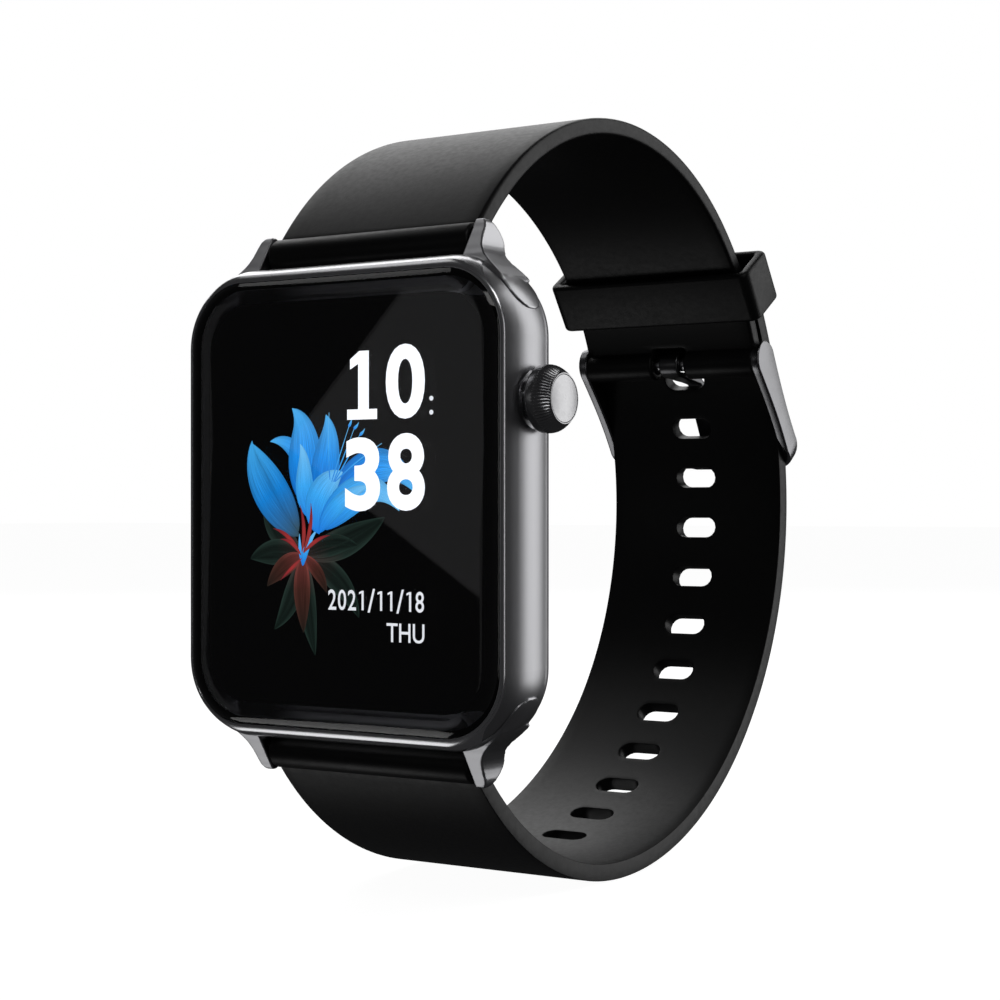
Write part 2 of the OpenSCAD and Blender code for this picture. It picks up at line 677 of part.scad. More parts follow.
module buckle_frame() color([0.42, 0.42, 0.44]) difference() {
    union() {
        for (s = [-1, 1]) translate([s * (arm_x + arm_t / 2), 0, 0]) across(arm_t)
            tapered_link([buckle_y, buckle_z], 2.05, [cross_y, cross_z], 1.3);
        rod(-arm_x - e, arm_x + e, cross_r, cross_y, cross_z);
    }
    rod(-arm_x - 0.95, arm_x + 0.95, pin_hole_r, buckle_y, buckle_z);
    // seat for the tongue's tip
    translate([-tongue_w / 2 - 0.15, cross_y + 0.35, cross_z - 3]) cube([tongue_w + 0.3, 3, 6]);
}

module buckle_tongue() color([0.5, 0.5, 0.52]) difference() {
    union() {
        rod(-1.25, 1.25, 1.45, buckle_y, buckle_z);
        across(tongue_w) polygon([
            [buckle_y, buckle_z], [buckle_y + 0.2, buckle_z - 1.4],
            [buckle_y + 1, buckle_z - 1.8], [buckle_y + 5.2, buckle_z - 2],
            [cross_y + 0.45, cross_z + 1.5], [cross_y + 0.45, cross_z - 1.1],
            [cross_y + 1.05, cross_z - 1.1], [cross_y + 1.35, cross_z + 1.6],
            [buckle_y + 6, buckle_z - 1.1], [buckle_y + 1.3, buckle_z - 0.9],
        ]);
    }
    rod(-3, 3, 0.82, buckle_y, buckle_z);
}

case_frame();
lug_upper_right();
lug_upper_left();
lug_lower_right();
lug_lower_left();
lug_screws();
cover_glass();
glass_adhesive();
display_panel();
display_backlight();
display_flex();
flex_connector();
inner_chassis();
battery();
mainboard();
shield_cans();
board_screws();
vibration_motor();
antenna_flex();
side_switch();
switch_bracket();
crown_tube();
rear_cover();
rear_gasket();
rear_screws();
sensor_window();
sensor_board();
sensor_leds();
photodiodes();
light_barrier();
charge_contacts();
charge_magnets();
switch_plunger();
crown_cap();
crown_insert();
crown_stem();
crown_seal();
crown_clip();
crown_spring();
upper_bar_tube();
upper_bar_pin();
upper_bar_spring();
lower_bar_tube();
lower_bar_pin();
lower_bar_spring();
buckle_bar_tube();
buckle_bar_pin();
buckle_bar_spring();
upper_strap_root();
upper_strap_end();
lower_strap_root();
lower_strap_tail();
keeper_loop();
buckle_frame();
buckle_tongue();
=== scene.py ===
"""Looks of the smartwatch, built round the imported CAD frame. Lengths below are in millimetres."""
import json
import math

import bmesh
import bpy
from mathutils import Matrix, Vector


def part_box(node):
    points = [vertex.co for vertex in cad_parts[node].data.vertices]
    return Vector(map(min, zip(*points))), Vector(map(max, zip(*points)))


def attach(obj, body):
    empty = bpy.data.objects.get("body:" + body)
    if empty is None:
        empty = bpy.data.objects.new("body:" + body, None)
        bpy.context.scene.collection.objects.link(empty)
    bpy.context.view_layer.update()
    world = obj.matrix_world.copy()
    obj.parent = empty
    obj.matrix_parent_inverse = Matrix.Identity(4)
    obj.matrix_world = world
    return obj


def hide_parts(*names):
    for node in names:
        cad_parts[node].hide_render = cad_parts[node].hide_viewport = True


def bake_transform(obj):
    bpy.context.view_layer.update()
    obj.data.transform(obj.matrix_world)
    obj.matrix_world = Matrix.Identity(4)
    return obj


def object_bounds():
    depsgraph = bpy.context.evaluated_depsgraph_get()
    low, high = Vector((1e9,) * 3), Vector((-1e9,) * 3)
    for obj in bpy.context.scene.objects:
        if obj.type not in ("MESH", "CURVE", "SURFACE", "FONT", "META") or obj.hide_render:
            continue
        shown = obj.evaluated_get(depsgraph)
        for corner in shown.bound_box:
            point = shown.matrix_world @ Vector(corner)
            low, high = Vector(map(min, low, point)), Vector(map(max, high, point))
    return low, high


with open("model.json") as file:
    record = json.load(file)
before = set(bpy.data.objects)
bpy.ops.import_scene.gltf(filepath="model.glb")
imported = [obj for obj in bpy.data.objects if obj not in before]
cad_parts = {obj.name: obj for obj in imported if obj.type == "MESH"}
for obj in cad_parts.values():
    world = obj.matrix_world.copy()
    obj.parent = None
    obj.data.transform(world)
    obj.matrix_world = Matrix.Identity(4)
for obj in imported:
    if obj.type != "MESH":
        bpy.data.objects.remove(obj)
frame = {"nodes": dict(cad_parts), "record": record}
cad_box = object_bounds()
nodes = frame["nodes"]
scene = bpy.context.scene
MM = 0.001


def low(node):
    """Lower corner of a CAD node's box, in mm."""
    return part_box(node)[0] / MM


def high(node):
    """Upper corner of a CAD node's box, in mm."""
    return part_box(node)[1] / MM


# ---------------------------------------------------------------- materials

def new_material(name):
    m = bpy.data.materials.new(name)
    m.use_nodes = True
    return m, m.node_tree, m.node_tree.nodes["Principled BSDF"]


def noise(nt, scale, detail=3.0, rough=0.5, stretch=(1, 1, 1)):
    """A noise texture in the row frame, stretched along an axis by a small factor there."""
    coord = nt.nodes.new("ShaderNodeTexCoord")
    n = nt.nodes.new("ShaderNodeTexNoise")
    n.inputs["Scale"].default_value = scale
    n.inputs["Detail"].default_value = detail
    n.inputs["Roughness"].default_value = rough
    if stretch != (1, 1, 1):
        mapping = nt.nodes.new("ShaderNodeMapping")
        mapping.inputs["Scale"].default_value = stretch
        nt.links.new(coord.outputs["Object"], mapping.inputs["Vector"])
        nt.links.new(mapping.outputs["Vector"], n.inputs["Vector"])
    else:
        nt.links.new(coord.outputs["Object"], n.inputs["Vector"])
    return n.outputs["Fac"]


def remap(nt, value, to_low, to_high, from_low=0.3, from_high=0.7):
    r = nt.nodes.new("ShaderNodeMapRange")
    for socket, v in zip(("From Min", "From Max", "To Min", "To Max"),
                         (from_low, from_high, to_low, to_high)):
        r.inputs[socket].default_value = v
    nt.links.new(value, r.inputs["Value"])
    return r.outputs["Result"]


def two_tone(nt, value, a, b, from_low=0.35, from_high=0.65):
    ramp = nt.nodes.new("ShaderNodeValToRGB")
    ramp.color_ramp.elements[0].position = from_low
    ramp.color_ramp.elements[1].position = from_high
    ramp.color_ramp.elements[0].color = (*a, 1)
    ramp.color_ramp.elements[1].color = (*b, 1)
    nt.links.new(value, ramp.inputs["Fac"])
    return ramp.outputs["Color"]


def bump(nt, shader, value, strength, distance):
    b = nt.nodes.new("ShaderNodeBump")
    b.inputs["Strength"].default_value = strength
    b.inputs["Distance"].default_value = distance * MM
    nt.links.new(value, b.inputs["Height"])
    nt.links.new(b.outputs["Normal"], shader.inputs["Normal"])


def surface(name, color, rough, metal=0.0, vary=0.08, rough_vary=0.05, grain=7000.0,
            grain_depth=0.01, cloud=180.0, stretch=(1, 1, 1), **sockets):
    """Principled surface with a fine grain, and colour and roughness that drift a little."""
    m, nt, p = new_material(name)
    p.inputs["Metallic"].default_value = metal
    cloudy = noise(nt, cloud, 4.0)
    a = tuple(max(0.0, c * (1 - vary)) for c in color)
    b = tuple(min(1.0, c * (1 + vary)) for c in color)
    nt.links.new(two_tone(nt, cloudy, a, b), p.inputs["Base Color"])
    streak = noise(nt, grain * 0.35, 2.0, stretch=stretch)
    nt.links.new(remap(nt, streak, rough - rough_vary, rough + rough_vary),
                 p.inputs["Roughness"])
    if grain_depth:
        bump(nt, p, noise(nt, grain, 2.0, stretch=stretch), 0.6, grain_depth)
    for key, v in sockets.items():
        p.inputs[key.replace("_", " ")].default_value = v
    return m


def clear_glass(name, tint, rough=0.0):
    """Clear glass with faint finger smudges."""
    m, nt, p = new_material(name)
    p.inputs["Base Color"].default_value = (*tint, 1)
    p.inputs["Transmission Weight"].default_value = 1.0
    p.inputs["IOR"].default_value = 1.47
    smudge = noise(nt, 90.0, 6.0, 0.6)
    nt.links.new(remap(nt, smudge, rough, rough + 0.012, 0.5, 0.8), p.inputs["Roughness"])
    return m


def printed_board(name):
    """Green solder mask with lighter tracks."""
    m, nt, p = new_material(name)
    coord = nt.nodes.new("ShaderNodeTexCoord")
    v = nt.nodes.new("ShaderNodeTexVoronoi")
    v.feature = "DISTANCE_TO_EDGE"
    v.inputs["Scale"].default_value = 900.0
    nt.links.new(coord.outputs["Object"], v.inputs["Vector"])
    nt.links.new(two_tone(nt, v.outputs["Distance"], (0.05, 0.30, 0.12), (0.01, 0.12, 0.05),
                          0.02, 0.08), p.inputs["Base Color"])
    p.inputs["Roughness"].default_value = 0.35
    bump(nt, p, v.outputs["Distance"], 0.3, 0.02)
    return m


MATERIALS = {
    "case_metal": surface("case_metal", (0.44, 0.44, 0.455), 0.33, 1.0, 0.012, 0.006, 6000,
                          0, 90.0),
    "rim": surface("rim", (0.80, 0.80, 0.82), 0.22, 1.0, 0.012, 0.006, 6000, 0, 90.0),
    "lug_metal": surface("lug_metal", (0.46, 0.46, 0.475), 0.30, 1.0, 0.012, 0.006, 6000,
                         0, 90.0),
    "dark_glass": clear_glass("dark_glass", (0.96, 0.97, 1.0)),
    "adhesive": surface("adhesive", (0.006, 0.006, 0.006), 0.7, Specular_IOR_Level=0.0),
    "panel": surface("panel", (0.0012, 0.0012, 0.0015), 0.4, grain_depth=0,
                     Specular_IOR_Level=0.0),
    "backlight": surface("backlight", (0.75, 0.76, 0.78), 0.4),
    "flex": surface("flex", (0.62, 0.30, 0.06), 0.35, stretch=(1, 0.1, 0.1)),
    "black_plastic": surface("black_plastic", (0.02, 0.02, 0.02), 0.5),
    "chassis": surface("chassis", (0.5, 0.5, 0.52), 0.4, 1.0),
    "battery_foil": surface("battery_foil", (0.35, 0.37, 0.42), 0.3, 0.8, grain_depth=0.03,
                            grain=900),
    "board": printed_board("board"),
    "steel": surface("steel", (0.58, 0.58, 0.6), 0.28, 1.0, 0.05, 0.08, 5000, 0.004,
                     stretch=(0.06, 1, 1)),
    "back_shell": surface("back_shell", (0.012, 0.012, 0.013), 0.3, 0.0, 0.1, 0.06, 6000,
                          0.006, Coat_Weight=0.2),
    "window": clear_glass("window", (0.25, 0.25, 0.28), 0.01),
    "led": surface("led", (0.35, 0.9, 0.5), 0.25, grain_depth=0),
    "sensor_chip": surface("sensor_chip", (0.06, 0.03, 0.09), 0.15, grain_depth=0),
    "gold": surface("gold", (0.85, 0.60, 0.25), 0.22, 1.0, 0.05, 0.05),
    "crown_metal": surface("crown_metal", (0.42, 0.42, 0.43), 0.24, 1.0, 0.015, 0.015, 6000,
                           0.0006, 90.0),
    "crown_face": surface("crown_face", (0.50, 0.50, 0.51), 0.30, 1.0, 0.015, 0.02, 6000,
                          0.0008, 90.0),
    "seal": surface("seal", (0.012, 0.012, 0.012), 0.6),
    "silicone": surface("silicone", (0.0075, 0.0075, 0.0078), 0.40, 0.0, 0.15, 0.035, 5000,
                        0.010, 60.0, Specular_IOR_Level=0.28),
    # The prong's metal is a darker copy of the buckle's metal: painted shade for the tongue lying in the
    # notch and hole.
    "prong": surface("prong", (0.13, 0.13, 0.135), 0.3, 1.0, 0.02, 0.02, 6000, 0, 90.0),
    "buckle_metal": surface("buckle_metal", (0.26, 0.26, 0.27), 0.26, 1.0, 0.015, 0.015, 6000,
                            0.0008, 90.0, stretch=(1, 0.25, 0.25)),
}
slot_of = {s["node"]: s["material_slot"] for s in frame["record"]["subparts"]}
for node, obj in nodes.items():
    obj.data.materials.clear()
    obj.data.materials.append(MATERIALS[slot_of[node]])


# ---------------------------------------------------------------- mesh helpers

def finish_mesh(name, verts, faces, material, body, bevel=0.0, segments=3, angle=38):
    """Makes an object of a mesh in mm, rounds its sharp edges, and hangs it on a body."""
    mesh = bpy.data.meshes.new(name)
    mesh.from_pydata([tuple(c * MM for c in v) for v in verts], [], faces)
    bm = bmesh.new()
    bm.from_mesh(mesh)
    bmesh.ops.remove_doubles(bm, verts=bm.verts, dist=1e-7)
    loose = [v for v in bm.verts if not v.link_faces]
    bmesh.ops.delete(bm, geom=loose, context="VERTS")
    bmesh.ops.recalc_face_normals(bm, faces=bm.faces)
    bm.to_mesh(mesh)
    bm.free()
    obj = bpy.data.objects.new(name, mesh)
    scene.collection.objects.link(obj)
    if bevel:
        mod = obj.modifiers.new("round", "BEVEL")
        mod.width = bevel * MM
        mod.segments = segments
        mod.limit_method = "ANGLE"
        mod.angle_limit = math.radians(50)
        mod.miter_outer = "MITER_ARC"
        apply_modifiers(obj)
    obj.data.shade_smooth()
    obj.data.set_sharp_from_angle(angle=math.radians(angle))
    obj.data.materials.clear()
    obj.data.materials.append(material)
    if body:
        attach(obj, body)
    return obj


def apply_modifiers(obj):
    """Makes an object's evaluated shape its own mesh."""
    bpy.context.view_layer.update()
    graph = bpy.context.evaluated_depsgraph_get()
    mesh = bpy.data.meshes.new_from_object(obj.evaluated_get(graph))
    obj.modifiers.clear()
    obj.data = mesh


def loft(rings, closed=False, caps=True):
    """Faces between equal rings of points; returns verts and faces."""
    n = len(rings[0])
    verts = [p for ring in rings for p in ring]
    faces = []
    last = len(rings) if closed else len(rings) - 1
    for i in range(last):
        j = (i + 1) % len(rings)
        for k in range(n):
            k2 = (k + 1) % n
            faces.append((i * n + k, i * n + k2, j * n + k2, j * n + k))
    if caps and not closed:
        faces.append(tuple(range(n)))
        faces.append(tuple((len(rings) - 1) * n + k for k in reversed(range(n))))
    return verts, faces


def join(parts):
    """Several pairs of verts and faces as one."""
    verts, faces = [], []
    for v, f in parts:
        base = len(verts)
        verts += v
        faces += [tuple(i + base for i in face) for face in f]
    return verts, faces


def round_rect(ha, hb, r, steps=6):
    """Points of a rounded rectangle, as pairs."""
    r = min(r, ha, hb)
    out = []
    for q, (sa, sb) in enumerate(((1, 1), (-1, 1), (-1, -1), (1, -1))):
        for k in range(steps + 1):
            t = math.radians(90 * (q + k / steps))
            out.append((sa * (ha - r) + r * math.cos(t), sb * (hb - r) + r * math.sin(t)))
    return out


def ring_at(c, a, b, ha, hb, r, steps=6):
    """A rounded rectangle round the point c, with half widths ha and hb along a and b."""
    return [tuple(c[i] + p * a[i] + q * b[i] for i in range(3))
            for p, q in round_rect(ha, hb, r, steps)]


def roll(y, z, x0, x1, r, bore, edge=0.35):
    """A rolled strap end: a tube along X with rounded rims."""
    profile = []
    for k in range(5):
        t = math.radians(90 * k / 4)
        profile.append((x0 + edge * (1 - math.sin(t)), r - edge * (1 - math.cos(t))))
    profile.reverse()
    profile = [(x0, bore)] + profile
    profile += [(x0 + x1 - px, pr) for px, pr in reversed(profile)]
    rings = []
    for i in range(56):
        t = 2 * math.pi * i / 56
        rings.append([(px, y + pr * math.cos(t), z + pr * math.sin(t)) for px, pr in profile])
    return loft(rings, closed=True)


# ---------------------------------------------------------------- strap paths

THICK = 1.7                      # of the strap
ROLL_R = 1.7                     # of its rolled ends
BORE_R, OPEN_BORE_R = 0.82, 1.05 # of the rolls, and of the one where the linkage is opened
BAR_Y, BAR_Z = -4.7, 23.9        # spring bars at the lugs
TOP = (22.4, 6.5, 32.4)          # y, z and outer radius past the loop's top
LOW = (21.2, 0.1, 38.0)          # and past its bottom
LAYER_GAP = 0.35
TAIL_R = TOP[2] + LAYER_GAP + THICK
BOW_R = 55.0                     # the wide arc that carries the tail outside the upper strap


def root_arc(mid_y, level):
    """Outer radius and middle z of the arc from a spring bar to a level tangent."""
    run, rise = mid_y - BAR_Y, level - BAR_Z
    r = (run * run + rise * rise - THICK * THICK / 4) / (2 * rise - THICK)
    return r, level - r


upper_r, upper_z = root_arc(TOP[0], TOP[1] + TOP[2])
lower_r, lower_z = root_arc(LOW[0], LOW[2] - LOW[1])
to_low, to_over = BOW_R - LOW[2], BOW_R - TAIL_R
apart = math.hypot(TOP[0] - LOW[0], TOP[1] - LOW[1])
lean = math.atan2(TOP[1] - LOW[1], TOP[0] - LOW[0]) + math.acos(
    (to_low ** 2 - to_over ** 2 + apart ** 2) / (2 * apart * to_low))
BOW = (LOW[0] + to_low * math.cos(lean), LOW[1] + to_low * math.sin(lean), BOW_R)
bow_from = math.degrees(math.atan2(LOW[1] - BOW[1], LOW[0] - BOW[0]))
bow_to = math.degrees(math.atan2(TOP[1] - BOW[1], TOP[0] - BOW[0]))
BUCKLE_Z = 16.2
buckle_y = BOW[0] + math.sqrt((BOW_R - THICK - 0.15 - ROLL_R) ** 2 - (BUCKLE_Z - BOW[1]) ** 2)
buckle_angle = math.degrees(math.atan2(BUCKLE_Z - TOP[1], buckle_y - TOP[0]))
TAIL_TIP, FIRST_HOLE = 35.2, 20.3   # angles of the tip and the first hole
PITCH, HOLES = 6.0, 12
HOLE_L, HOLE_W = 5.2, 2.4


class Path:
    """Arcs of (middle y, middle z, outer radius, from, to) in degrees, run end to end."""

    def __init__(self, arcs):
        self.arcs, self.starts, s = arcs, [], 0.0
        for y, z, r, a, b in arcs:
            self.starts.append(s)
            s += abs(math.radians(b - a)) * (r - THICK / 2)
        self.length = s

    def at(self, s):
        """Middle point and outward normal at length s, as (y, z), (ny, nz)."""
        i = max(k for k in range(len(self.arcs)) if k == 0 or self.starts[k] <= s)
        y, z, r, a, b = self.arcs[i]
        t = math.radians(a) + math.copysign((s - self.starts[i]) / (r - THICK / 2), b - a)
        n = (math.cos(t), math.sin(t))
        return (y + (r - THICK / 2) * n[0], z + (r - THICK / 2) * n[1]), n

    def place(self, x, s, h):
        (y, z), n = self.at(s)
        return (x, y + h * n[0], z + h * n[1])


upper_start = 180 - math.degrees(math.asin((BAR_Z - upper_z) / (upper_r - THICK / 2)))
lower_start = 180 + math.degrees(math.asin((BAR_Z - lower_z) / (lower_r - THICK / 2)))
UPPER = Path([(TOP[0], upper_z, upper_r, upper_start, 90), (*TOP, 90, buckle_angle)])
LOWER = Path([(LOW[0], -lower_z, lower_r, lower_start, 270), (*LOW, -90, bow_from),
              (*BOW, bow_from, bow_to), (TOP[0], TOP[1], TAIL_R, bow_to, TAIL_TIP)])
ROOT_W, END_W = 23.6, high("upper_strap_end")[0] * 2


def half_width(path, s):
    """Half the strap's width at length s: it narrows evenly from the lugs."""
    y = path.at(s)[0][0]
    return (ROOT_W + (END_W - ROOT_W) * min(max(y / 50, 0), 1)) / 2


def strap(path, s0, s1, core, holes=(), notch_from=None, tip_r=0.0):
    """A strap of even thickness along a path. core is the half width of the strip in which
    the holes, or the notch at the end, lie."""
    rows = [s0]
    stops = sorted({s for h in holes for s in (h - PITCH / 2, h + PITCH / 2)} |
                   ({notch_from} if notch_from else set()) |
                   ({s1 - tip_r} if tip_r else set()) | {s1})
    for stop in stops:
        if stop - rows[-1] < 1e-6:
            continue
        n = max(1, round((stop - rows[-1]) / 0.75))
        start = rows[-1]
        if tip_r and stop == s1:
            rows += [start + tip_r * math.sin(math.radians(90 * k / 8)) for k in range(1, 9)]
        else:
            rows += [start + (stop - start) * k / n for k in range(1, n + 1)]
    inner = [core * (k / 5 - 1) for k in range(11)]
    verts, faces, index = [], [], {}

    def vertex(x, s, h):
        verts.append(path.place(x, s, h))
        return len(verts) - 1

    side = 5
    columns = len(inner) + 2 * side
    for i, s in enumerate(rows):
        w = half_width(path, s)
        if tip_r and s > s1 - tip_r:
            w -= tip_r - math.sqrt(max(tip_r ** 2 - (s - s1 + tip_r) ** 2, 0))
        outer = [core + (w - core) * k / side for k in range(1, side + 1)]
        for j, x in enumerate([-o for o in reversed(outer)] + inner + outer):
            for h in (1, -1):
                index[i, j, h] = vertex(x, s, h * THICK / 2)

    def in_core(j):
        return side <= j < columns - side - 1

    gone = set()
    for i in range(len(rows) - 1):
        mid = (rows[i] + rows[i + 1]) / 2
        for j in range(columns - 1):
            if in_core(j) and (any(abs(mid - h) < PITCH / 2 for h in holes)
                               or (notch_from and mid > notch_from)):
                gone.add((i, j))
    for i in range(len(rows) - 1):
        for j in range(columns - 1):
            if (i, j) in gone:
                continue
            for h in (1, -1):
                quad = [index[i, j, h], index[i + 1, j, h], index[i + 1, j + 1, h],
                        index[i, j + 1, h]]
                faces.append(tuple(quad if h > 0 else reversed(quad)))
    # walls along the outside, and round the notch
    for i in range(len(rows) - 1):
        for j in range(columns - 1):
            if (i, j) in gone:
                continue
            for di, dj, a, b in ((-1, 0, (0, 0), (0, 1)), (1, 0, (1, 1), (1, 0)),
                                 (0, -1, (1, 0), (0, 0)), (0, 1, (0, 1), (1, 1))):
                k = (i + di, j + dj)
                outside = not (0 <= k[0] < len(rows) - 1 and 0 <= k[1] < columns - 1)
                at_notch = k in gone and notch_from and rows[min(max(k[0], 0), len(rows) - 1)] \
                    >= notch_from - 1e-6
                if outside or at_notch:
                    p, q = (i + a[0], j + a[1]), (i + b[0], j + b[1])
                    faces.append((index[*p, 1], index[*q, 1], index[*q, -1], index[*p, -1]))
    # each hole: loops from the strip's grid in to a stadium, on both faces, and its wall
    for hole in holes:
        i0 = min(i for i, s in enumerate(rows) if s > hole - PITCH / 2 - 1e-6)
        i1 = max(i for i, s in enumerate(rows) if s < hole + PITCH / 2 + 1e-6)
        j0, j1 = side, columns - side - 1
        border = [(i0, j) for j in range(j0, j1)] + [(i, j1) for i in range(i0, i1)] + \
            [(i1, j) for j in range(j1, j0, -1)] + [(i, j0) for i in range(i1, i0, -1)]
        inside = {}
        for h in (1, -1):
            loop = [index[i, j, h] for i, j in border]
            for step in (0.35, 0.7, 1.0):
                fresh = []
                for i, j in border:
                    bx, bs = inner[j - side], rows[i] - hole
                    hx, hs = stadium(bx, bs)
                    fresh.append(vertex(bx + (hx - bx) * step, hole + bs + (hs - bs) * step,
                                        h * THICK / 2))
                for k in range(len(border)):
                    k2 = (k + 1) % len(border)
                    quad = [loop[k], fresh[k], fresh[k2], loop[k2]]
                    faces.append(tuple(quad if h > 0 else reversed(quad)))
                loop = fresh
            inside[h] = loop
        for k in range(len(border)):
            k2 = (k + 1) % len(border)
            faces.append((inside[1][k], inside[-1][k], inside[-1][k2], inside[1][k2]))
    return verts, faces


def stadium(x, s):
    """Where the ray from a hole's middle through (x, s) meets the hole's edge."""
    r, d = HOLE_W / 2, (HOLE_L - HOLE_W) / 2
    n = math.hypot(x, s)
    ux, us = x / n, s / n
    if abs(us) > 1e-9 and abs(ux * r / us) <= d:
        return ux * r / abs(us), math.copysign(r, us)
    c = math.copysign(d, ux)
    b = ux * c
    t = b + math.sqrt(b * b - d * d + r * r)
    return ux * t, us * t


def loft_strap(name, parts, node_names):
    """One silicone strap from several meshes, its edges rounded, in place of the named CAD nodes."""
    verts, faces = join(parts)
    obj = finish_mesh(name, verts, faces, MATERIALS["silicone"], None, 0.38, 4)
    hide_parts(*node_names)
    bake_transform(obj)


NOTCH = 2.1                      # half width of the notch that takes the tongue
notch_s = UPPER.length - 2.05
loft_strap("strap_upper", [
    strap(UPPER, 1.25, UPPER.length - 1.15, NOTCH, notch_from=notch_s),
    roll(BAR_Y, BAR_Z, -ROOT_W / 2, ROOT_W / 2, ROLL_R, BORE_R),
    roll(buckle_y, BUCKLE_Z, -END_W / 2, -NOTCH, ROLL_R, BORE_R),
    roll(buckle_y, BUCKLE_Z, NOTCH, END_W / 2, ROLL_R, BORE_R),
], ["upper_strap_root", "upper_strap_end"])

first_hole_s = LOWER.starts[2] + math.radians(FIRST_HOLE - bow_from) * (BOW_R - THICK / 2)
loft_strap("strap_lower", [
    strap(LOWER, 1.45, LOWER.length, 3.5, [first_hole_s - k * PITCH for k in reversed(range(HOLES))],
          tip_r=4.0),
    roll(BAR_Y, -BAR_Z, -ROOT_W / 2, ROOT_W / 2, ROLL_R, OPEN_BORE_R),
], ["lower_strap_root", "lower_strap_tail"])


# ---------------------------------------------------------------- keeper

def keeper():
    """The loop that slides along both layers, a rounded box tube across the strap."""
    angle, half_length, gap = math.radians(33.6), 5.9 / 2, 0.3
    side_gap, side_wall, wall = 0.65, 1.25, 0.95
    r_in, r_out = TOP[2] - THICK - gap, TAIL_R + gap
    n = (0, math.cos(angle), math.sin(angle))
    t = (0, -math.sin(angle), math.cos(angle))
    middle, opening = (r_in + r_out) / 2, (r_out - r_in) / 2
    x_in, x_out = END_W / 2 + side_gap, END_W / 2 + side_gap + side_wall
    rings = []
    for along, ha, hb, r in ((-half_length, x_in, opening, 0.35),
                             (-half_length, x_out, opening + wall, 1.1),
                             (half_length, x_out, opening + wall, 1.1),
                             (half_length, x_in, opening, 0.35)):
        c = (0, TOP[0] + middle * n[1] + along * t[1], TOP[1] + middle * n[2] + along * t[2])
        rings.append(ring_at(c, (1, 0, 0), n, ha, hb, r, 8))
    verts, faces = loft(rings, closed=True)
    obj = finish_mesh("strap_keeper", verts, faces, MATERIALS["silicone"], "keeper",
                      0.42, 4)
    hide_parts("keeper_loop")


keeper()


# ---------------------------------------------------------------- buckle

def buckle():
    """The buckle's frame: two flat arms and the round bar that joins them, as one loft."""
    arm_t, arm_edge, eye_half = 1.05, 0.24, 2.1
    cross_r, cross_z, corner = 1.0, 5.3, 1.9
    tongue_seat = 0.62
    x_mid = high("buckle_frame")[0] - arm_t / 2
    cross_y = LOW[0] + math.sqrt((LOW[2] + cross_r + 0.1) ** 2 - (cross_z - LOW[1]) ** 2)
    d = Vector((0, cross_y - buckle_y, cross_z - BUCKLE_Z))
    reach = d.length
    d.normalize()
    across = Vector((0, -d.z, d.y))              # points out of the loop
    bar = Vector((0, buckle_y, BUCKLE_Z))

    def arm(t):
        """Half width of an arm, and how far its middle lies off the straight line."""
        u = min(max(t / reach, 0), 1)
        half = eye_half - 0.85 * math.sin(math.pi * min(u * 1.25, 1) / 2) + 0.3 * u ** 3
        return half, 0.42 * (1 - u) ** 2 + 0.12 * math.sin(math.pi * u)

    side = []
    steps = [-eye_half * math.cos(math.radians(a)) for a in (4, 15, 30, 45, 60, 75, 90)]
    steps += [(reach - corner) * k / 14 for k in range(1, 15)]
    for t in steps:
        half, off = arm(t)
        if t < 0:
            half = math.sqrt(max(eye_half ** 2 - t * t, 0.02))
        side.append((bar + d * t + across * off + Vector((x_mid, 0, 0)), Vector((1, 0, 0)),
                     arm_t / 2, half, arm_edge))
    end_half, end_off = arm(reach - corner)
    for k in range(1, 10):
        a = math.radians(90 * k / 9)
        mix = k / 9
        c = bar + d * (reach - corner + corner * math.sin(a)) + across * (end_off * (1 - mix)) + \
            Vector((x_mid - corner + corner * math.cos(a), 0, 0))
        side.append((c, Vector((math.cos(a), 0, 0)) + d * math.sin(a),
                     arm_t / 2 + (cross_r - arm_t / 2) * mix,
                     end_half + (cross_r - end_half) * mix, arm_edge + (cross_r - arm_edge) * mix))
    rings = []
    for c, normal, ha, hb, r in side:
        rings.append(ring_at(Vector((-c.x, c.y, c.z)), Vector((-normal.x, normal.y, normal.z)),
                             across, ha, hb, r, 6))
    # the cross bar is thinner where the tongue's tip lies on it
    for x in (-6, -3, -1.9, -1.5, -1.2, 0, 1.2, 1.5, 1.9, 3, 6):
        sink = tongue_seat * (1 if abs(x) <= 1.2 else 0.55 if abs(x) <= 1.5 else 0)
        c = bar + d * reach + Vector((x, 0, 0)) - across * (sink / 2)
        rings.append(ring_at(c, d, across, cross_r, cross_r - sink / 2, cross_r - sink / 2, 6))
    for c, normal, ha, hb, r in reversed(side):
        rings.append(ring_at(c, normal, across, ha, hb, r, 6))
    for i in range(1, len(rings)):
        rings[i] = in_step(rings[i - 1], rings[i])
    verts, faces = loft(rings)
    obj = finish_mesh("buckle_ring", verts, faces, MATERIALS["buckle_metal"],
                      "buckle", angle=45)
    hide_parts("buckle_frame")


def in_step(before, ring):
    """Turns or reverses a ring's order so that its points lie nearest those of the last one."""
    best = None
    n = len(ring)
    c0 = sum((Vector(p) for p in before), Vector()) / n
    c1 = sum((Vector(p) for p in ring), Vector()) / n
    for order in (ring, list(reversed(ring))):
        for k in range(0, n):
            turned = order[k:] + order[:k]
            cost = sum((Vector(p) - c1 - (Vector(q) - c0)).length_squared
                       for p, q in zip(turned[::3], before[::3]))
            if best is None or cost < best[0] - 1e-9:
                best = (cost, turned)
    return best[1]


